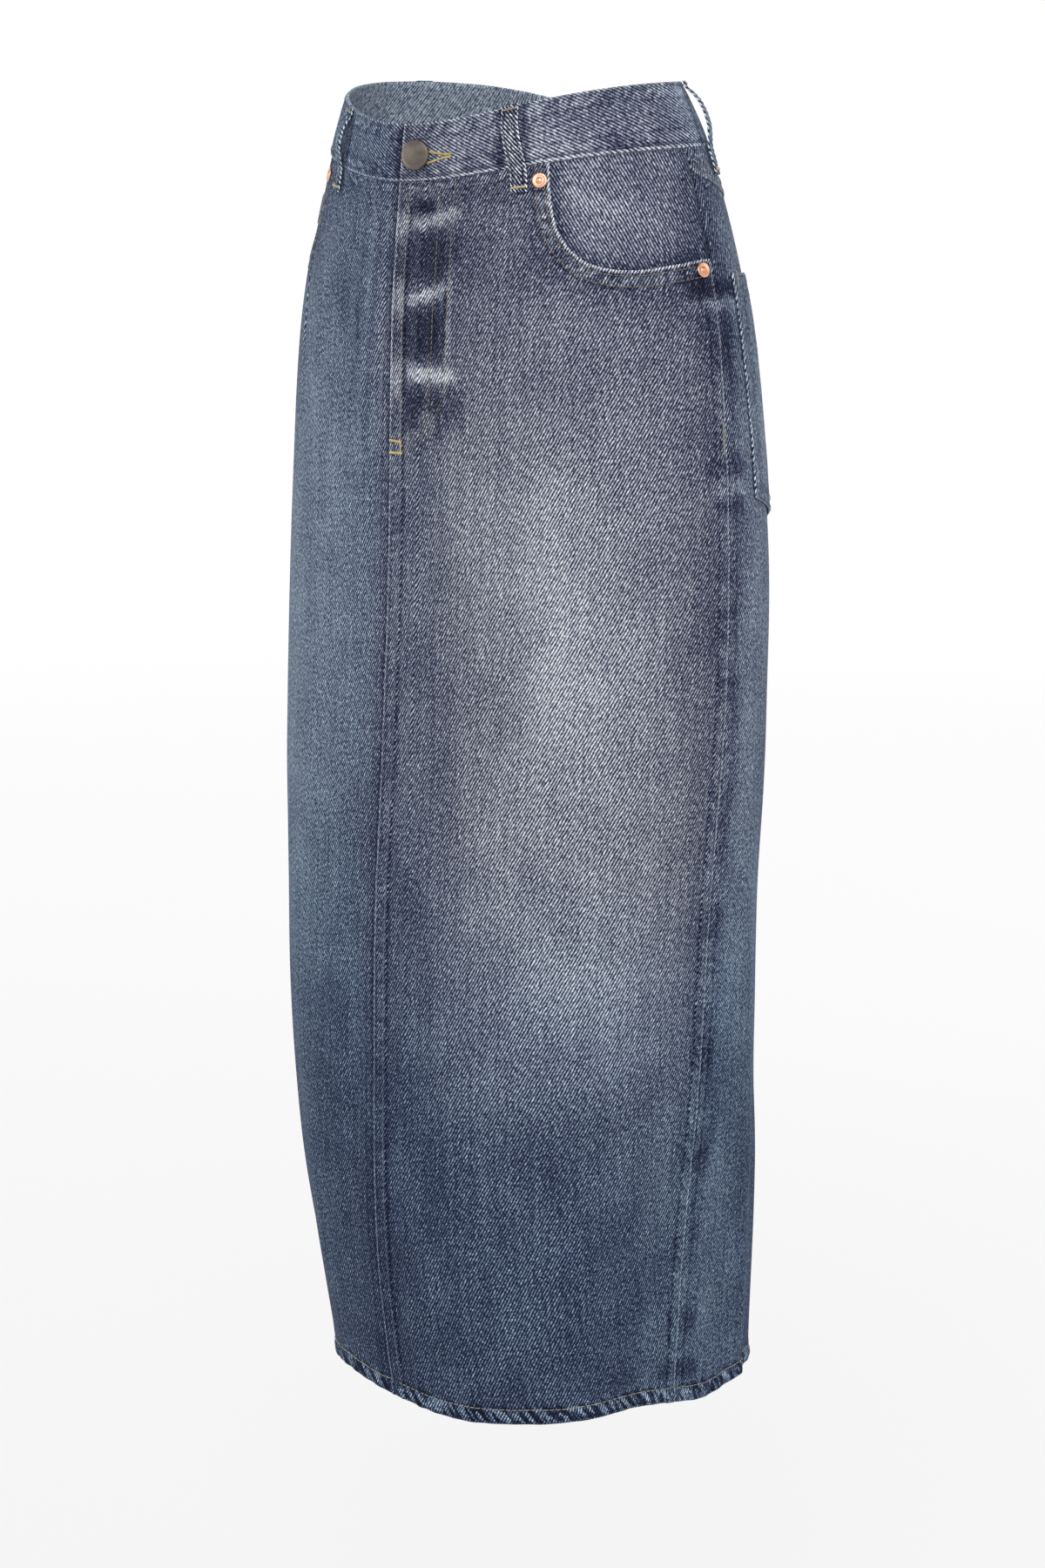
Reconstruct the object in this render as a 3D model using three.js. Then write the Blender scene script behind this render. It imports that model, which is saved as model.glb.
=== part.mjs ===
// Long denim skirt with five pockets, in its worn, hollow form.
// Millimetres. +Z is up, the front faces -Y and the wearer's left is +X.
// The origin is the middle of the waist opening.
// A place on the skirt is an angle round it (degrees from centre front towards the wearer's left),
// a drop (down from the waist edge) and a distance out from the inner face of the cloth.

import * as THREE from 'three';

// Driving dimensions
const LENGTH = 866;          // waist edge to hem
const CLOTH = 1.6;           // one panel's wall
const LIE = 0.3;             // clearance between pieces at a seam
const LAP = 1.0;             // clearance under a piece that lies on another, for their facets
const BAND_HEIGHT = 38;
const BAND_IN = -0.2;        // the folded band is thicker than a panel
const BAND_OUT = 2.4;
const BAND_UNDERLAP = 34;    // right end, under the buttoned left end
const HEM_TURN = 10.5;
const HEM_SWELL = 0.9;
const FELL = 0.8;            // how far a felled seam stands proud
const FRONT_FELL_WIDTH = 12;
const SIDE_FELL_WIDTH = 8;
const YOKE_FELL_WIDTH = 8;
const FLY_LENGTH = 182;      // below the band
const FLY_WIDTH = 46;
const FLY_STEP = 1.3;        // right front edge, sunk under the left one
const SLIT_DROP = 552;       // top of the centre back slit
const SLIT_HALF_GAP = 9;     // at the hem
const YOKE_SIDE_DROP = 51;
const YOKE_BACK_DROP = 108;
const LOOP_WIDTH = 11;
const LOOP_CLOTH = 1.8;
const BUTTON_RADIUS = 9.5;
const BUTTON_LOW = 2;         // below the band's middle
const BUTTON_TURN = 18;       // degrees that the button hangs turned to the wearer's left
const BUTTON_LIFT = 1.3;      // so that the turned base clears the band
const RIVET_RADIUS = 4.8;

const SIDE_ANGLE = 90;
const BACK_ANGLE = 180;
const DEGREE = Math.PI / 180;

// Worn sections: half width, depth before and behind the side seams, how far the side seams sit
// behind the waist's middle, and how square the front and back curves are (2 is an ellipse)
const SECTIONS = [
  { drop: 0, half: 130.5, front: 100, back: 68, behind: -6, squareFront: 1.9, squareBack: 1.82 },
  { drop: 40, half: 148, front: 105.5, back: 84.5, behind: -4.5, squareFront: 1.95, squareBack: 1.93 },
  { drop: 115, half: 172.5, front: 112, back: 101, behind: -4, squareFront: 2.0, squareBack: 2.0 },
  { drop: 185, half: 182, front: 115, back: 111, behind: -4, squareFront: 2.04, squareBack: 2.05 },
  { drop: 290, half: 188, front: 117, back: 120, behind: -4, squareFront: 2.1, squareBack: 2.1 },
  { drop: 400, half: 185, front: 123, back: 119, behind: -3.5, squareFront: 2.2, squareBack: 2.2 },
  { drop: 510, half: 174, front: 131, back: 122, behind: -2.5, squareFront: 2.35, squareBack: 2.25 },
  { drop: 630, half: 161.5, front: 138, back: 132, behind: 1.5, squareFront: 2.5, squareBack: 2.3 },
  { drop: 755, half: 142, front: 143, back: 142, behind: 8.5, squareFront: 2.7, squareBack: 2.4 },
  { drop: 866, half: 127.5, front: 137, back: 141, behind: 16, squareFront: 2.8, squareBack: 2.45 },
];

// The waist edge dips at the front and a little at the back; the hem rides up at the front
const WAIST_RISE = { mean: 2.5, once: -5.5, twice: -10.3, reach: 90 };
const HEM_RISE = { mean: 4, once: 7 };
const HEM_WAVES = [
  { angle: -22, spread: 14, rise: 4.5 },
  { angle: 22, spread: 16, rise: -3.5 },
  { angle: 74, spread: 13, rise: 3.5 },
  { angle: 103, spread: 9, rise: -2.5 },
  { angle: 119, spread: 9, rise: 4.5 },
];

// Largest soft folds: a ridge (or a trough, where the rise is negative) that wanders round the
// skirt from one angle to another between two drops
const FOLDS = [
  { from: 620, to: 866, startAngle: 330, endAngle: 322, spread: 20, rise: -6 },
  { from: 330, to: 866, startAngle: 99, endAngle: 119, spread: 6, rise: 4.5 },
  { from: 400, to: 866, startAngle: 110, endAngle: 131, spread: 7, rise: -4 },
  { from: 420, to: 866, startAngle: 252, endAngle: 238, spread: 8, rise: 4 },
  { from: 470, to: 866, startAngle: 264, endAngle: 252, spread: 7, rise: -3 },
  { from: 560, to: 866, startAngle: 158, endAngle: 152, spread: 8, rise: 3 },
  { from: 600, to: 866, startAngle: 206, endAngle: 213, spread: 9, rise: 3.5 },
];

// Front pocket edge from the band to the side seam
const SCOOP = [
  { angle: 54.3, drop: BAND_HEIGHT + LIE, hemAngle: 50 },
  { angle: 54.3, drop: 58, hemAngle: 54 },
  { angle: 55.2, drop: 74, hemAngle: 58 },
  { angle: 57.2, drop: 86, hemAngle: 62 },
  { angle: 61.2, drop: 97, hemAngle: 66.5 },
  { angle: 66.5, drop: 102.5, hemAngle: 71 },
  { angle: 73.0, drop: 104, hemAngle: 76 },
  { angle: 80.0, drop: 102, hemAngle: 81 },
];
const SCOOP_END_DROP = 99.5;

const DENIM = { color: 0x3d5272, roughness: 0.9, metalness: 0 };
const DENIM_DARK = { color: 0x27364f, roughness: 0.9, metalness: 0 };
const PEWTER = { color: 0x5b554c, roughness: 0.42, metalness: 0.9 };
const COPPER = { color: 0xb9734f, roughness: 0.35, metalness: 1 };

const skirt = new THREE.Group();

function smooth(from, to, value) {
  const t = Math.min(1, Math.max(0, (value - from) / (to - from)));
  return t * t * (3 - 2 * t);
}

// Smooth reading of one column of a table, by drop
function read(rows, column, drop) {
  const last = rows.length - 1;
  let k = 0;
  while (k < last - 1 && rows[k + 1].drop < drop) k += 1;
  const slope = (i) => {
    const a = rows[Math.max(0, i - 1)];
    const b = rows[Math.min(last, i + 1)];
    return (b[column] - a[column]) / (b.drop - a.drop);
  };
  const span = rows[k + 1].drop - rows[k].drop;
  const t = Math.min(1, Math.max(0, (drop - rows[k].drop) / span));
  const ease = t * t * (3 - 2 * t);
  const leave = t * (1 - t) * (1 - t) * span * slope(k);
  const arrive = t * t * (1 - t) * span * slope(k + 1);
  return rows[k][column] * (1 - ease) + rows[k + 1][column] * ease + leave - arrive;
}

function foldRise(angle, drop) {
  let rise = 0;
  for (const fold of FOLDS) {
    const along = smooth(fold.from, fold.to, drop);
    const middle = fold.startAngle + (fold.endAngle - fold.startAngle) * along;
    const turn = ((angle - middle + 540) % 360) - 180;
    rise += fold.rise * along * Math.exp(-((turn / fold.spread) ** 2));
  }
  return rise;
}

function skin(angle, drop) {
  const front = Math.cos(angle * DEGREE) > 0;
  const half = read(SECTIONS, 'half', drop);
  const depth = read(SECTIONS, front ? 'front' : 'back', drop);
  const square = read(SECTIONS, front ? 'squareFront' : 'squareBack', drop);
  const sideways = Math.sin(angle * DEGREE);
  const forwards = Math.cos(angle * DEGREE);
  const sum = Math.abs(sideways / half) ** square + Math.abs(forwards / depth) ** square;
  const radius = sum ** (-1 / square) + foldRise(angle, drop);
  const waist = Math.exp(-((drop / WAIST_RISE.reach) ** 2));
  const twice = Math.cos(2 * angle * DEGREE);
  const waistRise = WAIST_RISE.mean + WAIST_RISE.once * forwards + WAIST_RISE.twice * twice;
  let hemRise = HEM_RISE.mean + HEM_RISE.once * forwards;
  for (const wave of HEM_WAVES) {
    const turn = ((angle - wave.angle + 540) % 360) - 180;
    hemRise += wave.rise * Math.exp(-((turn / wave.spread) ** 2));
  }
  const z = -drop + waistRise * waist + hemRise * (Math.max(0, drop) / LENGTH) ** 4;
  const y = -radius * forwards + read(SECTIONS, 'behind', drop);
  return new THREE.Vector3(radius * sideways, y, z);
}

function outward(angle, drop) {
  const round = skin(angle + 0.5, drop).sub(skin(angle - 0.5, drop));
  const down = skin(angle, drop + 1).sub(skin(angle, drop - 1));
  return down.cross(round).normalize();
}

function place(angle, drop, out) {
  return skin(angle, drop).addScaledVector(outward(angle, drop), out);
}

// Degrees that a length takes up round the skirt
function turnFor(millimetres, angle, drop) {
  const step = 0.5;
  const perStep = skin(angle + step, drop).distanceTo(skin(angle, drop));
  return (millimetres / perStep) * step;
}

function addMesh(name, geometry, finish) {
  const mesh = new THREE.Mesh(geometry, new THREE.MeshStandardMaterial(finish));
  mesh.name = name;
  skirt.add(mesh);
  return mesh;
}

// A closed cloth wall over a grid. at(column, row) gives { angle, drop };
// inner and outer give how far out its two faces are there.
function wall(columns, rows, at, inner, outer) {
  const points = [];
  const faces = [];
  const wide = columns.length;
  const tall = rows.length;
  for (const face of [outer, inner]) {
    for (const column of columns) {
      for (const row of rows) {
        const spot = at(column, row);
        const point = place(spot.angle, spot.drop, face(column, row, spot));
        points.push(point.x, point.y, point.z);
      }
    }
  }
  const outerAt = (i, j) => i * tall + j;
  const innerAt = (i, j) => wide * tall + i * tall + j;
  for (let i = 0; i < wide - 1; i += 1) {
    for (let j = 0; j < tall - 1; j += 1) {
      faces.push(outerAt(i, j), outerAt(i, j + 1), outerAt(i + 1, j));
      faces.push(outerAt(i + 1, j), outerAt(i, j + 1), outerAt(i + 1, j + 1));
      faces.push(innerAt(i, j), innerAt(i + 1, j), innerAt(i, j + 1));
      faces.push(innerAt(i + 1, j), innerAt(i + 1, j + 1), innerAt(i, j + 1));
    }
  }
  const rim = [];
  for (let j = 0; j < tall - 1; j += 1) rim.push([[0, j], [0, j + 1]]);
  for (let i = 0; i < wide - 1; i += 1) rim.push([[i, tall - 1], [i + 1, tall - 1]]);
  for (let j = tall - 1; j > 0; j -= 1) rim.push([[wide - 1, j], [wide - 1, j - 1]]);
  for (let i = wide - 1; i > 0; i -= 1) rim.push([[i, 0], [i - 1, 0]]);
  for (const [a, b] of rim) {
    faces.push(outerAt(...b), outerAt(...a), innerAt(...a));
    faces.push(outerAt(...b), innerAt(...a), innerAt(...b));
  }
  const geometry = new THREE.BufferGeometry();
  geometry.setAttribute('position', new THREE.Float32BufferAttribute(points, 3));
  geometry.setIndex(faces);
  geometry.computeVertexNormals();
  return geometry;
}

// Turns a wall's faces round after it has been made with mirrored angles
function mirrored(geometry) {
  const index = geometry.getIndex().array;
  for (let k = 0; k < index.length; k += 3) {
    const keep = index[k + 1];
    index[k + 1] = index[k + 2];
    index[k + 2] = keep;
  }
  geometry.computeVertexNormals();
  return geometry;
}

// Both sides of a piece: side 1 is the wearer's left, -1 the right.
// at, inner and outer are written for the left one.
function sided(side, columns, rows, at, inner, outer) {
  const turned = (column, row) => {
    const spot = at(column, row);
    return { angle: side * spot.angle, drop: spot.drop };
  };
  const geometry = wall(columns, rows, turned, inner, outer);
  return side > 0 ? geometry : mirrored(geometry);
}

const SIDES = [
  { side: 1, word: 'left' },
  { side: -1, word: 'right' },
];

function evenly(count, from = 0, to = 1) {
  return Array.from({ length: count + 1 }, (_, k) => from + ((to - from) * k) / count);
}

// Rows of a long panel: closer over the hips, then the hem turn
const ROW_CROWDING = 1.35;
const PANEL_ROWS = [
  ...evenly(19).slice(0, -1).map((part) => ({ share: part ** ROW_CROWDING, above: 0 })),
  { share: 1, above: HEM_TURN + 1 },
  { share: 1, above: HEM_TURN },
  { share: 1, above: 0 },
];

function panelDrop(top, row) {
  return top + row.share * (LENGTH - top) - row.above;
}

function hemSwell(drop) {
  return drop > LENGTH - HEM_TURN - 0.5 ? HEM_SWELL : 0;
}

// Front panels: scooped away at the pocket, felled at centre front and at the side seam
function frontColumns() {
  const alongBand = [
    { angle: 0, hemAngle: 0, inset: LIE / 2 },
    { angle: 0, hemAngle: 0, inset: FRONT_FELL_WIDTH, fell: true },
    { angle: 0, hemAngle: 0, inset: FRONT_FELL_WIDTH + 1 },
    { angle: 13, hemAngle: 13, inset: 0 },
    { angle: 22, hemAngle: 21, inset: 0 },
    { angle: 31, hemAngle: 29, inset: 0 },
    { angle: 40, hemAngle: 37, inset: 0 },
    { angle: 47.5, hemAngle: 44, inset: 0 },
  ];
  const atSeam = { angle: SIDE_ANGLE, hemAngle: SIDE_ANGLE, drop: SCOOP_END_DROP };
  return [
    ...alongBand.map((column) => ({ ...column, drop: BAND_HEIGHT + LIE })),
    ...SCOOP.map((column) => ({ ...column, inset: 0 })),
    { ...atSeam, inset: -SIDE_FELL_WIDTH - 1 },
    { ...atSeam, inset: -SIDE_FELL_WIDTH, fell: true },
    { ...atSeam, inset: -LIE / 2, fell: true },
  ];
}

function makeFront(side, word) {
  const at = (column, row) => {
    const drop = panelDrop(column.drop, row);
    const along = smooth(0, 1, Math.sqrt(row.share));
    const angle = column.angle + (column.hemAngle - column.angle) * along;
    return { angle: angle + turnFor(column.inset, column.angle, drop), drop };
  };
  // At the fly the right front sinks under the left one's folded edge
  const sink = (spot) => {
    if (side > 0) return 0;
    const beside = 1 - smooth(0, 9, Math.abs(spot.angle));
    return FLY_STEP * beside * (1 - smooth(FLY_LENGTH, FLY_LENGTH + 90, spot.drop));
  };
  const felled = (column) => column.fell === true || (column.angle === 0 && column.inset < 1);
  const inner = (column, row, spot) => -hemSwell(spot.drop) - sink(spot);
  const outer = (column, row, spot) => {
    const fell = felled(column) && (side > 0 || column.angle > 0) ? FELL : 0;
    return CLOTH + hemSwell(spot.drop) + fell - sink(spot);
  };
  const geometry = sided(side, frontColumns(), PANEL_ROWS, at, inner, outer);
  addMesh(`front_${word}`, geometry, DENIM);
}

function yokeSeamDrop(angle) {
  const share = (angle - SIDE_ANGLE) / (BACK_ANGLE - SIDE_ANGLE);
  return YOKE_SIDE_DROP + (YOKE_BACK_DROP - YOKE_SIDE_DROP) * share ** 0.85;
}

// Half of the slit's width at a drop
function slitGap(drop) {
  const share = Math.max(0, (drop - SLIT_DROP) / (LENGTH - SLIT_DROP));
  return LIE / 2 + SLIT_HALF_GAP * share ** 1.2;
}

function makeBack(side, word) {
  const columns = [
    { share: 0, inset: LIE / 2 },
    ...evenly(15, 0.05, 0.95).map((share) => ({ share, inset: 0 })),
    { share: 1, inset: -SIDE_FELL_WIDTH - 1 },
    { share: 1, inset: -SIDE_FELL_WIDTH, fell: true },
    { share: 1, inset: 0, fell: true },
  ];
  const at = (column, row) => {
    const angle = SIDE_ANGLE + column.share * (BACK_ANGLE - SIDE_ANGLE);
    const drop = panelDrop(yokeSeamDrop(angle) + LIE, row);
    const inset = column.inset - (column.share === 1 ? slitGap(drop) : 0);
    return { angle: angle + turnFor(inset, angle - 1, drop), drop };
  };
  const inner = (column, row, spot) => -hemSwell(spot.drop);
  const outer = (column, row, spot) => CLOTH + hemSwell(spot.drop) + (column.fell ? FELL : 0);
  addMesh(`back_${word}`, sided(side, columns, PANEL_ROWS, at, inner, outer), DENIM);
}

// Yokes: shaped strips between the band and the back panels, felled over them
function makeYoke(side, word) {
  const rows = [
    { share: 0, above: 0 },
    { share: 1, above: YOKE_FELL_WIDTH + 1 },
    { share: 1, above: YOKE_FELL_WIDTH, fell: true },
    { share: 1, above: 0, fell: true },
  ];
  const at = (share, row) => {
    const angle = SIDE_ANGLE + share * (BACK_ANGLE - SIDE_ANGLE);
    const top = BAND_HEIGHT + LIE;
    const drop = top + row.share * (yokeSeamDrop(angle) - top) - row.above;
    const inset = LIE * (0.5 - share);
    return { angle: angle + turnFor(inset, angle, drop), drop };
  };
  const outer = (share, row) => CLOTH + (row.fell ? FELL : 0);
  addMesh(`yoke_${word}`, sided(side, evenly(14), rows, at, () => 0, outer), DENIM);
}

// Waistband: one folded strip all round, whose right end runs on under its left end
function makeWaistband() {
  const around = 360 + turnFor(BAND_UNDERLAP, 0, BAND_HEIGHT / 2);
  const edge = turnFor(LIE / 2, 0, BAND_HEIGHT / 2);
  const turns = [...evenly(58, 0, 352), 354, 356, 357.5, 359, 359.6, 366, 372, around];
  const drops = [0, 2, BAND_HEIGHT - 2, BAND_HEIGHT];
  const under = BAND_OUT - BAND_IN + LIE;
  const sink = (turn) => under * smooth(350, 359.4, turn);
  const soft = (drop) => (drop === 0 || drop === BAND_HEIGHT ? 0.5 : 0);
  const at = (turn, drop) => ({ angle: turn === 0 ? edge : turn, drop });
  const inner = (turn, drop) => BAND_IN - sink(turn) + soft(drop);
  const outer = (turn, drop) => BAND_OUT - sink(turn) - soft(drop);
  addMesh('waistband', wall(turns, drops, at, inner, outer), DENIM);
}

// Denim that fills each front pocket's mouth, sewn in behind the scooped edge
const BEARER_OUT = -LAP;
const BEARER_IN = BEARER_OUT - CLOTH;

function makeBearer(side, word) {
  const drops = evenly(8, BAND_HEIGHT + LIE, 126);
  const angles = evenly(10, 47, SIDE_ANGLE);
  const at = (angle, drop) => {
    const inset = angle === SIDE_ANGLE ? -LIE / 2 : 0;
    return { angle: angle + turnFor(inset, angle, drop), drop };
  };
  const geometry = sided(side, angles, drops, at, () => BEARER_IN, () => BEARER_OUT);
  addMesh(`pocket_bearer_${word}`, geometry, DENIM_DARK);
}

// Small coin pocket on the right bearer, inside the scoop
function makeCoinPocket() {
  const angles = evenly(4, 58.5, 81);
  const drops = evenly(2, 64, 82);
  const at = (angle, drop) => ({ angle, drop });
  const thin = 1;
  const inner = () => BEARER_OUT + LAP;
  const outer = () => BEARER_OUT + LAP + thin;
  addMesh('coin_pocket', sided(-1, angles, drops, at, inner, outer), DENIM);
}

// Fly: the facing behind the left front has a J-shaped end; the shield hangs behind it
function makeFlyFacing() {
  const top = BAND_HEIGHT + LIE;
  const end = top + FLY_LENGTH;
  const shares = evenly(5);
  const at = (share, down) => {
    const lowest = end - 48 * smooth(0.25, 1, share);
    const drop = top + down * (lowest - top);
    const across = 1 + share * (FLY_WIDTH - 1);
    return { angle: turnFor(across, 0, drop), drop };
  };
  const geometry = wall(shares, evenly(6), at, () => -LAP - CLOTH, () => -LAP);
  addMesh('fly_facing', geometry, DENIM_DARK);
}

function makeFlyShield() {
  const top = BAND_HEIGHT + 2 * LIE;
  const out = -2 * LAP - CLOTH;
  const at = (across, down) => {
    const drop = top + down * FLY_LENGTH;
    return { angle: turnFor(across, 0, drop), drop };
  };
  const geometry = wall(evenly(5, -6, 40), evenly(6), at, () => out - CLOTH, () => out);
  addMesh('fly_shield', geometry, DENIM_DARK);
}

// Back pockets: five-sided patches with a pointed foot
const POCKET = {
  nearAngle: 96.3, topDrop: 108, topTilt: 6, topWidth: 160, footWidth: 144, tall: 138, point: 22,
};

function makeBackPocket(side, word) {
  const out = CLOTH + LAP;
  const thick = 1.5;
  const at = (share, down) => {
    const narrow = (POCKET.topWidth - POCKET.footWidth) / 2;
    const across = share * POCKET.topWidth + narrow * down * (1 - 2 * share);
    const peak = 1 - Math.abs(2 * share - 1);
    const height = POCKET.tall + POCKET.point * peak - POCKET.topTilt * share;
    const drop = POCKET.topDrop + POCKET.topTilt * share + down * height;
    const start = POCKET.nearAngle + turnFor(across / 2, POCKET.nearAngle, drop);
    return { angle: start + turnFor(across / 2, start, drop), drop };
  };
  const geometry = sided(side, evenly(10), evenly(8), at, () => out, () => out + thick);
  addMesh(`back_pocket_${word}`, geometry, DENIM);
}

// Belt loops: sewn flat at both ends, bowed clear of the band between them
const LOOP_BOW = [
  { drop: -0.5, share: 0 },
  { drop: 5, share: 0 },
  { drop: 8.5, share: 0.42 },
  { drop: 14, share: 0.86 },
  { drop: 21, share: 1 },
  { drop: 28, share: 0.86 },
  { drop: 34, share: 0.42 },
  { drop: 38.5, share: 0.06 },
  { drop: 42, share: 0.04 },
  { drop: 54.5, share: 0.04 },
];
const BELT_LOOPS = [
  { name: 'belt_loop_front_left', angle: 43.5, footAngle: 46, bow: 4.4 },
  { name: 'belt_loop_front_right', angle: -39, footAngle: -38.5, bow: 4.4 },
  { name: 'belt_loop_side_left', angle: 101, footAngle: 101, bow: 4.8 },
  { name: 'belt_loop_side_right', angle: -101, footAngle: -101, bow: 4.8 },
  { name: 'belt_loop_back', angle: 180, footAngle: 180, bow: 5.8 },
];

function makeBeltLoop(loop) {
  const at = (across, row) => {
    const middle = loop.angle + (loop.footAngle - loop.angle) * smooth(0, 50, row.drop);
    return { angle: middle + turnFor(across, middle, row.drop), drop: row.drop };
  };
  const inner = (across, row) => BAND_OUT + LIE + row.share * loop.bow;
  const outer = (across, row) => inner(across, row) + LOOP_CLOTH;
  const across = evenly(2, -LOOP_WIDTH / 2, LOOP_WIDTH / 2);
  addMesh(loop.name, wall(across, LOOP_BOW, at, inner, outer), DENIM);
}

// Turned metal pieces, set square to the cloth
function setOnCloth(mesh, angle, drop, out) {
  mesh.position.copy(place(angle, drop, out));
  mesh.quaternion.setFromUnitVectors(new THREE.Vector3(0, 1, 0), outward(angle, drop));
}

function turnToSide(mesh, degrees) {
  const upright = new THREE.Vector3(0, 0, 1);
  mesh.quaternion.premultiply(new THREE.Quaternion().setFromAxisAngle(upright, THREE.MathUtils.degToRad(degrees)));
}

function makeButton() {
  const r = BUTTON_RADIUS;
  const profile = [
    [0, 0], [4.2, 0], [4.2, 0.6], [2.6, 1.0], [2.6, 2.0], [r - 1, 2.2],
    [r, 2.7], [r, 3.4], [r - 0.7, 4.0], [r - 1.4, 3.8], [0, 3.9],
  ].map(([x, y]) => new THREE.Vector2(x, y));
  const button = addMesh('button', new THREE.LatheGeometry(profile, 24), PEWTER);
  const drop = BAND_HEIGHT / 2 + BUTTON_LOW;
  setOnCloth(button, turnFor(15.5, 0, drop), drop, BAND_OUT + LIE + BUTTON_LIFT);
  turnToSide(button, BUTTON_TURN);
}

const RIVETS = [
  { name: 'rivet_upper_left', angle: 51.6, drop: 48.5, on: CLOTH },
  { name: 'rivet_upper_right', angle: -51.6, drop: 48.5, on: CLOTH },
  { name: 'rivet_lower_left', angle: 87.4, drop: 105.5, on: CLOTH + FELL },
  { name: 'rivet_lower_right', angle: -87.4, drop: 105.5, on: CLOTH + FELL },
];

function makeRivet(rivet) {
  const r = RIVET_RADIUS;
  const profile = [
    [0, 0], [r - 0.4, 0], [r, 0.4], [r - 0.5, 1.0], [2.4, 0.9], [1.6, 1.5], [0, 1.7],
  ].map(([x, y]) => new THREE.Vector2(x, y));
  const mesh = addMesh(rivet.name, new THREE.LatheGeometry(profile, 16), COPPER);
  setOnCloth(mesh, rivet.angle, rivet.drop, rivet.on + LIE);
}

makeWaistband();
for (const { side, word } of SIDES) {
  makeFront(side, word);
  makeBack(side, word);
  makeYoke(side, word);
  makeBearer(side, word);
  makeBackPocket(side, word);
}
makeCoinPocket();
makeFlyFacing();
makeFlyShield();
BELT_LOOPS.forEach(makeBeltLoop);
makeButton();
RIVETS.forEach(makeRivet);

export default skirt;
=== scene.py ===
# %% [markdown]
# # Long denim skirt
# A stonewashed straight skirt that ends at the calf. It stands hollow, so its cloth has to hold the worn
# shape itself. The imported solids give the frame: where each panel, pocket, loop, rivet and the button sits.
# This lesson dresses them: thin cloth shells, sewing, worn twill, metal trims, light and a camera.

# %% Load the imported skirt
import math
import bpy
import bmesh
import numpy as np
from mathutils import Matrix, Vector


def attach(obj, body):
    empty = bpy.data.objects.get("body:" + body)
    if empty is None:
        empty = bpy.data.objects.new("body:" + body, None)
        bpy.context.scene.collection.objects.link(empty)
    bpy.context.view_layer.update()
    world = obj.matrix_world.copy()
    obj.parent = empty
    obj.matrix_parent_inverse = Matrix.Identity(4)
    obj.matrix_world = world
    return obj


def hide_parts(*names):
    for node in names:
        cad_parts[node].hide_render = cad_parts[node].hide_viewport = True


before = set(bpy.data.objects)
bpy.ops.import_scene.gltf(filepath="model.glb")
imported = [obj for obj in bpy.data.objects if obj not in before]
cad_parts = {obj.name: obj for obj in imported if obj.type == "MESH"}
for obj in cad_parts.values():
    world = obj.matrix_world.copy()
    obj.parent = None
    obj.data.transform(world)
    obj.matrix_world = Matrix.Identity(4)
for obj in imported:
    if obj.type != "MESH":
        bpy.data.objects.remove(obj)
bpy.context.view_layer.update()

# %% [markdown]
# ## The worn surface
# A skirt is cut flat, but it is seen in its worn form, so every piece here is placed on one shared surface.
# A place on it is an angle round the skirt, a drop below the waist edge and a distance out from the cloth's
# inner face. The surface is an oval through ten worn sections. One shared surface keeps panels, pockets and
# stitches from crossing, which separate meshes nudged into place by eye would not. Angles are degrees from
# centre front to the wearer's left, lengths are millimetres, and only the finished meshes are in metres.

# %% Worn sections
LENGTH = 866.0
BAND = 38.0
PANEL_TOP = BAND + 0.3
HEM = 10.9
CLOTH = 1.6
FELL = 0.8
SLIT_DROP = 552.0
FRONT_SEAM, BACK_SEAM = 12.1, 8.1
SIDES = ((1, "left"), (-1, "right"))
# drop, half width, depth in front, depth behind, shift to the back, squareness in front and behind
DROP, HALF, FRONT, BACK, BEHIND, SQUARE_FRONT, SQUARE_BACK = range(7)
SECTIONS = np.array([
    (0, 130.5, 100, 68, -6, 1.9, 1.82), (40, 148, 105.5, 84.5, -4.5, 1.95, 1.93),
    (115, 172.5, 112, 101, -4, 2.0, 2.0), (185, 182, 115, 111, -4, 2.04, 2.05),
    (290, 188, 117, 120, -4, 2.1, 2.1), (400, 185, 123, 119, -3.5, 2.2, 2.2),
    (510, 174, 131, 122, -2.5, 2.35, 2.25), (630, 161.5, 138, 132, 1.5, 2.5, 2.3),
    (755, 142, 143, 142, 8.5, 2.7, 2.4), (866, 127.5, 137, 141, 16, 2.8, 2.45),
])
# middle angle, spread in degrees, rise
HEM_WAVES = [(-22, 14, 4.5), (22, 16, -3.5), (74, 13, 3.5), (103, 9, -2.5), (119, 9, 4.5)]
# from drop, to drop, start angle, end angle, spread in degrees, rise
FOLDS = [
    (620, 866, 330, 322, 20, -6), (330, 866, 99, 119, 6, 4.5), (400, 866, 110, 131, 7, -4),
    (420, 866, 252, 238, 8, 4), (470, 866, 264, 252, 7, -3), (560, 866, 158, 152, 8, 3),
    (600, 866, 206, 213, 9, 3.5),
]


def ease(start, end, value):
    t = np.clip((value - start) / (end - start), 0, 1)
    return t * t * (3 - 2 * t)


def turned(angle, middle):
    return (angle - middle + 540) % 360 - 180


def read(column, drop):
    x, y = SECTIONS[:, DROP], SECTIONS[:, column]
    last = len(x) - 1
    k = np.clip(np.searchsorted(x, drop) - 1, 0, last - 1)
    below, above = np.maximum(np.arange(last + 1) - 1, 0), np.minimum(np.arange(last + 1) + 1, last)
    slope = (y[above] - y[below]) / (x[above] - x[below])
    span = x[k + 1] - x[k]
    t = np.clip((drop - x[k]) / span, 0, 1)
    mix = t * t * (3 - 2 * t)
    leave = t * (1 - t) ** 2 * span * slope[k]
    arrive = t * t * (1 - t) * span * slope[k + 1]
    return y[k] * (1 - mix) + y[k + 1] * mix + leave - arrive


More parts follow.
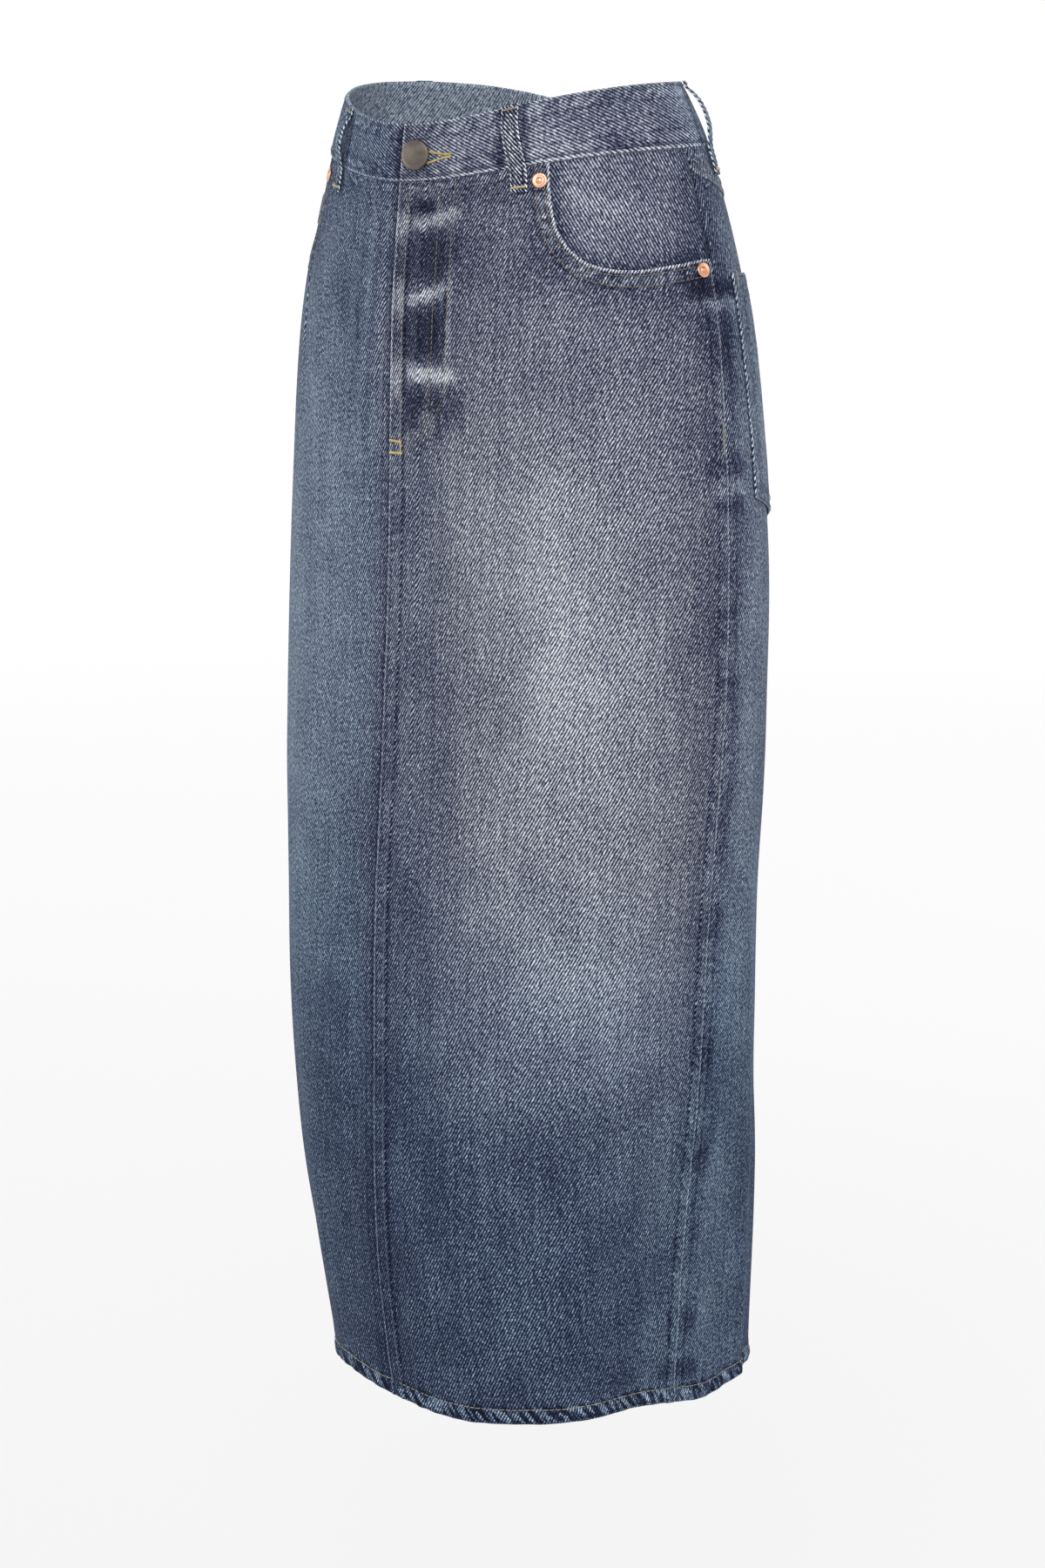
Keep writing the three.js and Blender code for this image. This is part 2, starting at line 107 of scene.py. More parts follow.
def skin(angle, drop):
    angle, drop = np.broadcast_arrays(np.asarray(angle, float), np.asarray(drop, float))
    side, ahead = np.sin(np.radians(angle)), np.cos(np.radians(angle))
    front = ahead > 0
    depth = np.where(front, read(FRONT, drop), read(BACK, drop))
    square = np.where(front, read(SQUARE_FRONT, drop), read(SQUARE_BACK, drop))
    radius = (np.abs(side / read(HALF, drop)) ** square + np.abs(ahead / depth) ** square) ** (-1 / square)
    for start, end, first, then, spread, rise in FOLDS:
        along = ease(start, end, drop)
        radius = (
            radius + rise * along * np.exp(-(turned(angle, first + (then - first) * along) / spread) ** 2)
        )
    waist = (2.5 - 5.5 * ahead - 10.3 * np.cos(np.radians(2 * angle))) * np.exp(-(drop / 90) ** 2)
    hem = 4 + 7 * ahead
    for middle, spread, rise in HEM_WAVES:
        hem = hem + rise * np.exp(-(turned(angle, middle) / spread) ** 2)
    z = -drop + waist + hem * (np.maximum(drop, 0) / LENGTH) ** 4
    return np.stack([radius * side, -radius * ahead + read(BEHIND, drop), z], -1)


def outward(angle, drop):
    angle, drop = np.asarray(angle, float), np.asarray(drop, float)
    across = skin(angle + 0.5, drop) - skin(angle - 0.5, drop)
    down = skin(angle, drop + 1) - skin(angle, drop - 1)
    normal = np.cross(down, across)
    return normal / np.linalg.norm(normal, axis=-1, keepdims=True)


def degrees_for(length, angle, drop):
    step = np.linalg.norm(skin(np.asarray(angle, float) + 0.5, drop) - skin(angle, drop), axis=-1)
    return length / step * 0.5


hips = skin(np.arange(0, 361, 2.0), 290.0)
print("round the hips:", round(float(np.linalg.norm(np.diff(hips, axis=0), axis=1).sum())), "mm")

# %% [markdown]
# ## Creases and puckers
# Heavy denim doesn't flow: it holds a few broad, shallow troughs, and puckers where a seam has drawn it up
# in the wash. A cloth simulation would soften both away, so the creases are listed one by one, each from one
# place to another with its own width and depth, and the puckers follow the seams. All pieces share this
# relief too, so sewing stays on its cloth.

# %% Creases
# from angle, from drop, to angle, to drop, width, rise
CREASES = [
    (14, 60, 19, 128, 7, -0.8), (26, 48, 30, 96, 6, 0.5), (36, 46, 34, 88, 5, -0.5),
    (58, 112, 66, 168, 9, -0.9), (63, 52, 76, 74, 6, 0.6), (68, 44, 84, 58, 5, -0.5),
    (79, 112, 88, 150, 7, 0.8), (74, 118, 86, 178, 8, -0.9), (78, 205, 89, 226, 8, -1.0),
    (80, 232, 89, 246, 6, 0.7), (66, 300, 84, 340, 14, -0.8), (9, 228, 17, 330, 10, -1.0),
    (22, 212, 31, 300, 12, 0.9), (14, 520, 11, 700, 12, -0.9), (31, 560, 27, 790, 16, 1.0),
    (46, 640, 43, 856, 13, -1.3), (60, 690, 61, 862, 14, 1.2), (76, 610, 78, 858, 12, -1.2),
    (84, 380, 86, 560, 9, -0.8), (20, 700, 18, 862, 10, -1.2), (-5, 56, -9, 210, 3.5, -0.9),
    (-9, 60, -14, 240, 4, 0.8), (-15, 54, -17, 180, 4, -0.8), (-7, 215, -14, 330, 9, -1.0),
    (-20, 60, -26, 150, 8, -0.8), (-33, 130, -48, 196, 9, -0.7), (-30, 300, -36, 470, 16, 1.0),
    (-12, 540, -16, 840, 11, -1.4), (-27, 640, -24, 862, 12, 1.4), (-44, 600, -46, 850, 13, -1.4),
    (-62, 420, -66, 640, 14, 1.0), (-78, 560, -79, 862, 12, -1.3), (-80, 200, -89, 226, 8, -0.9),
    (-74, 116, -87, 170, 8, -0.9), (96, 250, 102, 330, 8, 1.0), (122, 300, 126, 420, 14, -1.2),
    (140, 280, 148, 390, 16, 1.1), (166, 250, 172, 380, 12, -1.2), (146, 520, 142, 850, 14, -1.3),
    (172, 430, 170, 540, 9, 1.0), (134, 640, 140, 860, 12, 1.2), (-98, 250, -103, 340, 8, 1.0),
    (-121, 310, -128, 430, 14, -1.1), (-143, 290, -150, 400, 15, 1.2), (-167, 256, -171, 372, 12, -1.1),
    (-147, 500, -141, 856, 14, -1.3), (-173, 430, -171, 545, 9, 0.9), (-132, 660, -139, 860, 12, 1.1),
]
MM_PER_DEGREE = 2.65


def uneven(u, v, size):
    u, v = u / size, v / size
    first = np.sin(1.31 * u + 1.3 + 1.7 * np.sin(0.61 * v + 0.4))
    second = np.sin(0.73 * u - 1.13 * v + 4.1)
    third = np.sin(1.71 * v + 0.47 * u + 2.2 + np.sin(0.9 * u))
    return (first + second + third) / 2.4


def near(distance, reach):
    return np.exp(-(distance / reach) ** 2)


def relief(angle, drop):
    angle, drop = np.broadcast_arrays(np.asarray(angle, float), np.asarray(drop, float))
    angle = turned(angle, 0.0)
    u = angle * MM_PER_DEGREE
    rise = (
        0.35 * uneven(u, drop, 38) * ease(45, 120, drop)
        + 0.04 * uneven(u + 40, drop * 0.5, 9) * ease(45, 90, drop)
    )
    for a0, d0, a1, d1, width, height in CREASES:
        along = np.array([(a1 - a0) * MM_PER_DEGREE, d1 - d0])
        reach = np.hypot(*along)
        along = along / reach
        du, dv = (u - a0 * MM_PER_DEGREE), drop - d0
        on = (du * along[0] + dv * along[1]) / reach
        off = du * along[1] - dv * along[0] + 0.12 * reach * np.sin(on * math.pi) * np.sign(height) * 0.4
        ends = ease(-0.1, 0.35, on) * (1 - ease(0.6, 1.12, on))
        rise = rise + height * ends * near(off, width)
    below_band = drop - BAND
    rise = rise + 0.34 * uneven(u * 1.6, drop * 0.3, 5.2) * near(below_band, 15) * (below_band > 0)
    for seam, strength in ((0.0, 0.10), (90.0, 0.26), (-90.0, 0.26), (180.0, 0.20)):
        off = turned(angle, seam) * MM_PER_DEGREE
        run = uneven(drop + 13 * seam, off * 0.7, 5.5)
        rise = rise + strength * run * near(off, 11) * ease(BAND, BAND + 20, drop)
    above_hem = LENGTH - drop
    rope = uneven(u + above_hem * 0.9, above_hem * 0.35, 3.2)
    rise = rise + 0.7 * rope * near(above_hem - 3.5, 5.5)
    rise = rise + 0.40 * uneven(u * 1.2 + 5, above_hem * 0.3, 4.1) * near(above_hem - 15, 8)
    return rise


def place(angle, drop, out):
    lift = (np.asarray(out, float) + relief(angle, drop))[..., None]
    return skin(angle, drop) + outward(angle, drop) * lift


print(
    "deepest relief on the left front:",
    round(float(np.abs(relief(np.arange(0, 90.0)[:, None], np.arange(60, 860.0))).max()), 1), "mm"
)

# %% [markdown]
# ## A cloth shell from a grid
# Real cloth is one thin layer, so each piece is a grid of places with an outer face, an inner face 1.1 mm
# behind it and a rim that joins them. A Solidify modifier could thicken a single layer, but the hem, the
# felled seams and the folded band are thicker than the rest, which two grids say directly. Each point also
# carries numbers for the material: how washed out it is, how far it is from the nearest seam and how far
# along that seam.

# %% Mesh helper
THIN = 1.1
NUMBERS = ("wash", "cool", "seam_off", "seam_run", "seam_pale", "seam_rungs")


def coolness(angle, drop):
    """How blue the indigo is: most low down, on the wearer's right and behind the side seam."""
    angle = turned(np.asarray(angle, float), 0.0)
    low = 0.95 * ease(400, 760, drop) + 0.30 * near(angle - 10, 16) * ease(150, 250, drop)
    return np.clip(low + 0.75 * ease(6, -16, angle) + 0.6 * ease(82, 98, angle), 0.08, 1.0)


def arc(angle, drop, steps=24):
    """Millimetres round the skirt from the grid's first column, measured level with each point."""
    angle, drop = np.broadcast_arrays(angle, drop)
    path = [skin(angle[:1] + (angle - angle[:1]) * k / steps, drop) for k in range(steps + 1)]
    return sum(np.linalg.norm(after - before, axis=-1) for before, after in zip(path, path[1:]))


def shell(name, angle, drop, outer, inner, marks, materials):
    angle, drop, outer, inner = (np.asarray(a, float) for a in np.broadcast_arrays(angle, drop, outer, inner))
    wide, tall = angle.shape
    faces_out = place(angle, drop, outer)
    points = np.concatenate([faces_out.reshape(-1, 3), place(angle, drop, inner).reshape(-1, 3)]) * 0.001
    index = np.arange(wide * tall).reshape(wide, tall)
    quads = np.stack([index[:-1, :-1], index[:-1, 1:], index[1:, 1:], index[1:, :-1]], -1).reshape(-1, 4)
    back = quads[:, ::-1] + wide * tall
    rim = np.concatenate([index[0, :-1], index[:-1, -1], index[-1, :0:-1], index[:0:-1, 0]])
    after = np.roll(rim, -1)
    edge = np.stack([after, rim, rim + wide * tall, after + wide * tall], -1)
    every = np.concatenate([quads, back, edge])
    mesh = bpy.data.meshes.new(name)
    mesh.from_pydata(points.tolist(), [], every.tolist())
    kinds = np.zeros(len(every), np.int32)
    kinds[len(quads):len(quads) * 2] = 1 if len(materials) > 1 else 0
    for material in materials:
        mesh.materials.append(material)
    mesh.polygons.foreach_set("material_index", kinds)
    mesh.polygons.foreach_set("use_smooth", np.ones(len(every), bool))
    across = arc(angle, marks.get("level", drop))
    across += marks["start"] - np.where(marks.get("from_end", False), across[-1:], 0)
    flat = np.stack([across, -drop], -1).reshape(-1, 2) * 0.001
    loops = np.zeros(len(mesh.loops), np.int32)
    mesh.loops.foreach_get("vertex_index", loops)
    mesh.uv_layers.new(name="cloth").data.foreach_set(
        "uv", flat[loops % (wide * tall)].astype(np.float32).ravel()
    )
    marks.setdefault("cool", coolness(angle, drop))
    marks.setdefault("seam_off", 99.0)
    for word in NUMBERS:
        values = np.broadcast_to(np.asarray(marks.get(word, 0.0), float), (wide, tall)).ravel()
        mesh.attributes.new(word, "FLOAT", "POINT").data.foreach_set(
            "value", np.tile(values, 2).astype(np.float32)
        )
    mesh.update()
    mesh.set_sharp_from_angle(angle=math.radians(48))
    piece = put(name, mesh)
    drops = np.linalg.norm(np.diff(faces_out, axis=1), axis=-1).sum(1)
    areas = np.zeros(len(every), np.float32)
    mesh.polygons.foreach_get("area", areas)
    round_at = np.linalg.norm(np.diff(faces_out[..., :2], axis=0), axis=-1).sum(0).max()
    size = (float(round_at) / 1000, float(drops.max()) / 1000, float(areas[:len(quads)].sum()))
    flat_size = f"{size[0] * 1000:.0f} x {size[1] * 1000:.0f} mm, {size[2]:.4f} square metres"
    print(f"{name}: {len(every) * 2} triangles, {flat_size}")
    return piece, size


def cloth_piece(node, angle, drop, outer, inner, marks, materials, held="hung", on=()):
    """One piece of cloth in place of its solid, attached to the root body, with the solid hidden."""
    piece, size = shell(node + "_cloth", angle, drop, outer, inner, marks, materials)
    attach(piece, "root")
    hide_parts(node)
    return piece


def put(name, data):
    """A new object for a mesh, a light or a camera, linked into the scene."""
    thing = bpy.data.objects.new(name, data)
    bpy.context.scene.collection.objects.link(thing)
    return thing


def mirror(side, *grids):
    return grids if side > 0 else tuple(np.flip(g, 0) for g in grids)


def marks_for(side, wash, seams):
    grids = {"wash": wash, **seams}
    return {
        "start": 0.0, "from_end": side < 0, **{word: mirror(side, grid)[0] for word, grid in grids.items()}
    }


# %% [markdown]
# ## Shader tools
# Materials are node trees. Small helpers add one node at a time and wire it, and anything that more than
# one material needs becomes a node group with named sockets, built once.

# %% Node helpers
def add(tree, kind, inputs=None, **settings):
    node = tree.nodes.new(kind)
    for key, value in settings.items():
        setattr(node, key, value)
    for key, value in (inputs or {}).items():
        if isinstance(value, bpy.types.NodeSocket):
            tree.links.new(value, node.inputs[key])
        else:
            node.inputs[key].default_value = value
    return node


def start_material(name):
    """A new material, with its node tree and its Principled shader."""
    material = bpy.data.materials.new(name)
    material.use_nodes = True
    return material, material.node_tree, material.node_tree.nodes["Principled BSDF"]


def finish_surface(tree, shader, colour, height, distance, strength, **plain):
    """Wires a colour and a bump into the shader and sets its plain values."""
    tree.links.new(colour, shader.inputs["Base Color"])
    bump = add(tree, "ShaderNodeBump", {"Height": height, "Distance": distance, "Strength": strength})
    tree.links.new(bump.outputs[0], shader.inputs["Normal"])
    for key, value in plain.items():
        shader.inputs[key.replace("_", " ")].default_value = value


def calc(tree, operation, *values):
    return add(tree, "ShaderNodeMath", dict(enumerate(values)), operation=operation).outputs[0]


def times(tree, a, b):
    return calc(tree, "MULTIPLY", a, b)


def plus(tree, a, b):
    return calc(tree, "ADD", a, b)


def vector(tree, x, y):
    return add(tree, "ShaderNodeCombineXYZ", {"X": x, "Y": y}).outputs[0]


def noise(tree, where, scale, detail=2.0, rough=0.5):
    settings = {"Vector": where, "Scale": scale, "Detail": detail, "Roughness": rough}
    return add(tree, "ShaderNodeTexNoise", settings, noise_dimensions="2D").outputs[0]


def spread(tree, value, low, high, to_low, to_high, kind="LINEAR"):
    settings = {"Value": value, "From Min": low, "From Max": high, "To Min": to_low, "To Max": to_high}
    return add(tree, "ShaderNodeMapRange", settings, interpolation_type=kind).outputs[0]


def group(name, inputs, outputs):
    tree = bpy.data.node_groups.new(name, "ShaderNodeTree")
    for label, kind, value in inputs:
        socket = tree.interface.new_socket(label, in_out="INPUT", socket_type="NodeSocket" + kind)
        if value is not None:
            socket.default_value = value
    for label, kind in outputs:
        tree.interface.new_socket(label, in_out="OUTPUT", socket_type="NodeSocket" + kind)
    return tree, tree.nodes.new("NodeGroupInput").outputs, tree.nodes.new("NodeGroupOutput").inputs


def use(tree, shared, **inputs):
    node = add(tree, "ShaderNodeGroup", node_tree=shared)
    for key, value in inputs.items():
        key = key.replace("_", " ")
        if isinstance(value, bpy.types.NodeSocket):
            tree.links.new(value, node.inputs[key])
        else:
            node.inputs[key].default_value = value
    return node.outputs


# %% [markdown]
# ## Twill weave
# Denim is a twill: each weft thread passes over one warp and under three, one thread further on every row,
# so the face shows steep diagonal ridges called wales. The warp is indigo and wears white on top of each
# ridge first. A Wave texture gives straight bars but no broken threads, so the group works out the distance
# across the wales itself, bends it a little with noise, and breaks each wale into the short worn lengths
# that the photo shows.

# %% Twill group
twill, given, out = group(
    "Twill weave",
    [
        ("Cloth", "Vector", None), ("Spacing", "Float", 0.0018),
        ("Lean", "Float", 1.08), ("Broken", "Float", 0.45),
    ],
    [("Wale", "Float"), ("Height", "Float")],
)
parts = add(twill, "ShaderNodeSeparateXYZ", {"Vector": given["Cloth"]}).outputs
lean_sin, lean_cos = calc(twill, "SINE", given["Lean"]), calc(twill, "COSINE", given["Lean"])
across = calc(twill, "SUBTRACT", times(twill, parts["X"], lean_sin), times(twill, parts["Y"], lean_cos))
along = plus(twill, times(twill, parts["X"], lean_cos), times(twill, parts["Y"], lean_sin))
bend = noise(twill, vector(twill, across, along), 110.0, 2.0)
bent = calc(twill, "MULTIPLY_ADD", calc(twill, "SUBTRACT", bend, 0.5), 0.0008, across)
turns = calc(twill, "DIVIDE", bent, given["Spacing"])
wave = calc(twill, "COSINE", times(twill, turns, 2 * math.pi))
ridge = spread(twill, wave, -0.75, 0.8, 0.0, 1.0, "SMOOTHSTEP")
lengths = noise(twill, vector(twill, turns, times(twill, along, 260.0)), 1.0, 1.0)
specks = noise(twill, vector(twill, times(twill, across, 1500.0), times(twill, along, 800.0)), 1.0, 0.0)
worn = plus(
    twill, spread(twill, lengths, 0.3, 0.7, -0.5, 0.5), spread(twill, specks, 0.25, 0.75, -0.35, 0.35)
)
broken = calc(twill, "MULTIPLY_ADD", worn, given["Broken"], ridge)
twill.links.new(broken, out["Wale"])
twill.links.new(ridge, out["Height"])
print("twill group:", len(twill.nodes), "nodes")

# %% [markdown]
# ## Stonewash and slubs
# Stonewashing rubs the cloth unevenly, in soft clouds a few centimetres across, and slubs, the thick places
# in the yarn, take the rubbing as fine upright streaks. Both are stretched noise, at the sizes seen on the
# photo.

# %% Stonewash group
stonewash, given, out = group(
    "Stonewash",
    [
        ("Cloth", "Vector", None), ("Clouds", "Float", 0.04),
        ("Streaks", "Float", 0.035), ("Grit", "Float", 0.17),
    ],
    [("Shift", "Float")],
)
parts = add(stonewash, "ShaderNodeSeparateXYZ", {"Vector": given["Cloth"]}).outputs
clouds = spread(stonewash, noise(stonewash, given["Cloth"], 26.0, 5.0, 0.62), 0.3, 0.7, -1.0, 1.0)
tall = vector(stonewash, times(stonewash, parts["X"], 330.0), times(stonewash, parts["Y"], 11.0))
streaks = spread(stonewash, noise(stonewash, tall, 1.0, 3.0, 0.6), 0.32, 0.68, -1.0, 1.0)
grit = spread(stonewash, noise(stonewash, given["Cloth"], 520.0, 2.0, 0.7), 0.3, 0.7, -1.0, 1.0)
total = times(stonewash, clouds, given["Clouds"])
total = calc(stonewash, "MULTIPLY_ADD", streaks, given["Streaks"], total)
total = calc(stonewash, "MULTIPLY_ADD", grit, given["Grit"], total)
stonewash.links.new(total, out["Shift"])

# %% [markdown]
# ## Seam wear
# A seam shrinks more than the cloth beside it, so it puckers, and the top of each pucker is rubbed pale
# while the hollow between stays dark. The pieces carry the distance from the seam and the distance along it
# in millimetres, scaled so that every seam allowance is 12 wide, and how pale its edge and how strong its
# puckers are. This group turns them into a scuffed edge, a ladder of light and dark rungs, and a dark line
# where the allowance ends.

# %% Seam group
seam_wear, given, out = group(
    "Seam wear",
    [
        ("Off", "Float", 99.0), ("Run", "Float", 0.0), ("Pale", "Float", 0.2),
        ("Rungs", "Float", 0.06), ("Pitch", "Float", 5.0),
    ],
    [("Shift", "Float"), ("Height", "Float")],
)
off, run = given["Off"], given["Run"]
slant = calc(seam_wear, "DIVIDE", calc(seam_wear, "MULTIPLY_ADD", off, 0.55, run), given["Pitch"])
rungs = noise(seam_wear, vector(seam_wear, slant, times(seam_wear, off, 0.05)), 1.0, 2.0, 0.6)
rungs = spread(seam_wear, rungs, 0.36, 0.64, -1.0, 1.0, "SMOOTHSTEP")
inside = times(
    seam_wear, spread(seam_wear, off, 0.6, 2.4, 0.0, 1.0), spread(seam_wear, off, 9.0, 17.0, 1.0, 0.0)
)
scuffs = noise(seam_wear, vector(seam_wear, times(seam_wear, run, 0.45), off), 1.0, 2.0)
scuffs = spread(seam_wear, scuffs, 0.35, 0.65, 0.5, 1.2)
edge = times(seam_wear, spread(seam_wear, off, 0.9, 2.4, 1.0, 0.0, "SMOOTHSTEP"), scuffs)
groove = times(
    seam_wear, spread(seam_wear, off, 1.8, 2.6, 0.0, 1.0), spread(seam_wear, off, 3.0, 4.6, 1.0, 0.0)
)
outer_line = times(
    seam_wear, spread(seam_wear, off, 11.2, 12.4, 0.0, 1.0), spread(seam_wear, off, 13.0, 15.5, 1.0, 0.0)
)
dark = times(seam_wear, plus(seam_wear, groove, outer_line), -0.08)
shift = calc(seam_wear, "MULTIPLY_ADD", edge, given["Pale"], dark)
ladder = times(seam_wear, times(seam_wear, rungs, inside), given["Rungs"])
seam_wear.links.new(plus(seam_wear, shift, ladder), out["Shift"])
seam_wear.links.new(ladder, out["Height"])

# %% [markdown]
# ## Indigo
# Indigo doesn't fade evenly towards white. It goes from near black navy through slate blue to a chalky grey
# blue, and a colour ramp says that once for every denim here, so that all pieces look cut from one cloth.
# The photo's blue is also cooler where the cloth was rubbed less, which one multiplied tint gives.

# %% Indigo group
indigo, given, out = group("Indigo", [("Wash", "Float", 0.4), ("Cool", "Float", 0.5)], [("Colour", "Color")])
ramp = add(indigo, "ShaderNodeValToRGB", {"Fac": given["Wash"]})


def srgb(*levels):
    values = [v / 255 for v in levels]
    return [v / 12.92 if v <= 0.04045 else ((v + 0.055) / 1.055) ** 2.4 for v in values] + [1.0]


INDIGO_STEPS = [
    (0.0, (15, 15, 27)), (0.18, (37, 40, 62)), (0.34, (69, 74, 99)), (0.5, (113, 118, 138)),
    (0.66, (160, 163, 174)), (0.82, (204, 206, 211)), (1.0, (240, 240, 241)),
]
for number, (where, level) in enumerate(INDIGO_STEPS):
    stop = ramp.color_ramp.elements[0] if number == 0 else ramp.color_ramp.elements.new(where)
    stop.position, stop.color = where, srgb(*level)
ramp.color_ramp.elements.remove(ramp.color_ramp.elements[-1])
cool = add(indigo, "ShaderNodeMix", {"Factor": given["Cool"]}, data_type="RGBA")
cool.inputs[6].default_value, cool.inputs[7].default_value = (1.0, 1.0, 1.0, 1.0), (0.76, 0.98, 1.12, 1.0)
dyed = add(indigo, "ShaderNodeMix", data_type="RGBA", blend_type="MULTIPLY")
dyed.inputs[0].default_value = 1.0
indigo.links.new(ramp.outputs[0], dyed.inputs[6])
indigo.links.new(cool.outputs[2], dyed.inputs[7])
indigo.links.new(dyed.outputs[2], out["Colour"])

# %% [markdown]
# ## Denim materials
# Each piece is cut from the same cloth, but the grain runs its own way and it was rubbed its own amount, so
# one function makes the materials from the shared groups. Denim scatters light softly and has a short nap,
# so the shader is rough with a little sheen, and the wales and puckers go through a Bump node.

# %% Denim
def denim(name, lean=62, contrast=0.52, pitch=5.0, spacing=0.0018):
    material, tree, shader = start_material(name)
    cloth = add(tree, "ShaderNodeUVMap", uv_map="cloth").outputs[0]
    number = {
        word: add(tree, "ShaderNodeAttribute", attribute_name=word).outputs["Fac"]
        for word in NUMBERS
    }
    wales = use(tree, twill, Cloth=cloth, Spacing=spacing, Lean=math.radians(lean))
    washed = use(tree, stonewash, Cloth=cloth)
    seams = use(
        tree, seam_wear, Off=number["seam_off"], Run=number["seam_run"], Pale=number["seam_pale"],
        Rungs=number["seam_rungs"], Pitch=pitch
    )
    wash = plus(tree, number["wash"], plus(tree, washed["Shift"], seams["Shift"]))
    strength = spread(tree, wash, 0.1, 0.45, contrast * 0.3, contrast)
    wash = calc(tree, "MULTIPLY_ADD", calc(tree, "SUBTRACT", wales["Wale"], 0.5), strength, wash)
    colour = use(tree, indigo, Wash=wash, Cool=number["cool"])["Colour"]
    height = calc(tree, "MULTIPLY_ADD", seams["Height"], 8.0, wales["Height"])
    finish_surface(
        tree, shader, colour, height, 0.0002, 0.7,
        Roughness=0.9, Specular_IOR_Level=0.12,
        Sheen_Weight=0.06, Sheen_Roughness=0.5, Sheen_Tint=srgb(150, 178, 222)
    )
    return material


panel_denim = denim("denim_panel")
yoke_denim = denim("denim_yoke", lean=66)
band_denim = denim("denim_band", lean=148, contrast=0.42, pitch=7.0)
loop_denim = denim("denim_loop", lean=124, contrast=0.8, pitch=4.0)
bearer_denim = denim("denim_bearer", lean=122, contrast=0.46)
pocket_denim = denim("denim_pocket", lean=64)

# %% [markdown]
# The inside of a twill shows mostly undyed weft, so the reverse of every piece is a pale grey blue with
# faint wales that lean the other way. It shows from above, through the open waist and hem.

# %% Reverse side
def reverse(name):
    material, tree, shader = start_material(name)
    cloth = add(tree, "ShaderNodeUVMap", uv_map="cloth").outputs[0]
    wales = use(tree, twill, Cloth=cloth, Lean=math.radians(118), Broken=0.9)
    washed = use(tree, stonewash, Cloth=cloth, Clouds=0.03)
    wash = calc(
        tree, "MULTIPLY_ADD", calc(tree, "SUBTRACT", wales["Wale"], 0.5), 0.3,
        plus(tree, washed["Shift"], 0.66)
    )
    colour = use(tree, indigo, Wash=wash)["Colour"]
    finish_surface(tree, shader, colour, wales["Height"], 0.0002, 0.6, Roughness=0.92, Specular_IOR_Level=0.2)
    return material


inside_denim = reverse("denim_inside")

# %% [markdown]
# ## Fading
# The upper front is rubbed palest, the lower third, the seams and the cloth under the pockets stay dark,
# and behind the side seam the blue is deeper. A photo texture would freeze one view, so the fading is
# worked out from soft patches, each with its place, reach and strength, on top of a level that changes with
# the drop.

# %% Fade zones
LEVEL_DROPS = (0, 40, 110, 170, 240, 320, 440, 540, 600, 660, 720, 866)
LEVELS = (0.405, 0.385, 0.385, 0.41, 0.45, 0.45, 0.44, 0.425, 0.40, 0.335, 0.315, 0.295)
# angle, drop, angle reach, drop reach, lift
ZONES = [
    (52, 300, 20, 90, 0.10), (58, 420, 24, 130, 0.11), (56, 560, 20, 70, 0.07), (34, 250, 16, 70, 0.03),
    # The zone at angle 2 and drop 520 is painted shade in the shallow valley along centre front.
    (-54, 340, 18, 150, 0.07), (-40, 120, 16, 60, 0.03), (2, 520, 9, 240, -0.05), (88, 300, 8, 330, -0.06),
    (100, 420, 12, 360, -0.04), (44, 700, 34, 40, 0.01), (70, 128, 16, 22, -0.02),
    (150, 330, 30, 120, 0.07), (-150, 330, 30, 120, 0.07), (-100, 420, 12, 360, -0.03),
    (180, 600, 10, 300, -0.04), (20, 430, 12, 250, -0.075), (-19, 580, 12, 90, -0.08),
    (81, 370, 7, 90, -0.06), (98, 790, 16, 110, 0.10), (28, 100, 8, 30, -0.06), (54, 165, 12, 50, 0.05),
    (43, 330, 7, 120, -0.05), (96, 420, 9, 420, 0.07), (84, 690, 7, 80, 0.08), (86, 830, 9, 40, 0.08),
    (92, 20, 12, 60, 0.06), (-22, 20, 14, 20, -0.05), (62, 52, 12, 18, 0.06), (69, 80, 9, 14, 0.04),
]


def fade(angle, drop):
    angle, drop = np.broadcast_arrays(np.asarray(angle, float), np.asarray(drop, float))
    wash = np.interp(drop, LEVEL_DROPS, LEVELS)
    for middle, at, reach, tall_reach, lift in ZONES:
        wash = wash + lift * near(turned(angle, middle), reach) * near(drop - at, tall_reach)
    return (
        wash + 0.018 * uneven(angle * MM_PER_DEGREE, drop * 0.45, 21)
        + 0.012 * uneven(angle * 9, drop * 0.2, 7)
    )


def rubbed(wash, *lines):
    """Soft lines rubbed into the cloth: each has a lift, a distance from its middle and a reach."""
    for lift, distance, reach in lines:
        wash = wash + lift * near(distance, reach)
    return wash


def patches(rows, x, drop):
    """Rubbed or unrubbed marks with fairly hard sides, from the rows of a table."""
    total = np.zeros(np.broadcast(x, drop).shape)
    ragged = 1.6 * uneven(x * 2.2, drop * 2.0, 4.0)
    for middle, at, half_wide, half_tall, slope, shift in rows:
        across = (x - middle + ragged * 0.4) / half_wide
        up = (drop - at - slope * (x - middle) + ragged) / half_tall
        total = total + shift * np.exp(-across ** 8 - up ** 4)
    return total


# %% [markdown]
# ## Front panels
# Each front runs from the felled centre front seam to the side seam and is scooped away at the pocket. The
# grid's columns start along the band, then along the scoop, and spread down to the hem. They are close
# together at the seams, where a stitched edge needs its rounded form, and 3 mm apart elsewhere.

# %% Front grid
SCOOP = np.array([
    (54.3, PANEL_TOP, 50), (54.3, 58, 54), (55.2, 74, 58), (57.2, 86, 62), (61.2, 97, 66.5),
    (66.5, 102.5, 71), (73, 104, 76), (80, 102, 81), (87, 99.6, 87.4),
])
TOP_STEPS = np.array([0, 0.5, 1.2, 2.2, 3.4, 4.8, 6.4, 8.2, 10.2, 12.6, 15.4])
HEM_STEPS = np.array([14, 12.6, 11.6, 10.9, 10.2, 9.2, 8, 6.6, 5, 3.4, 1.8, 0.6, 0])


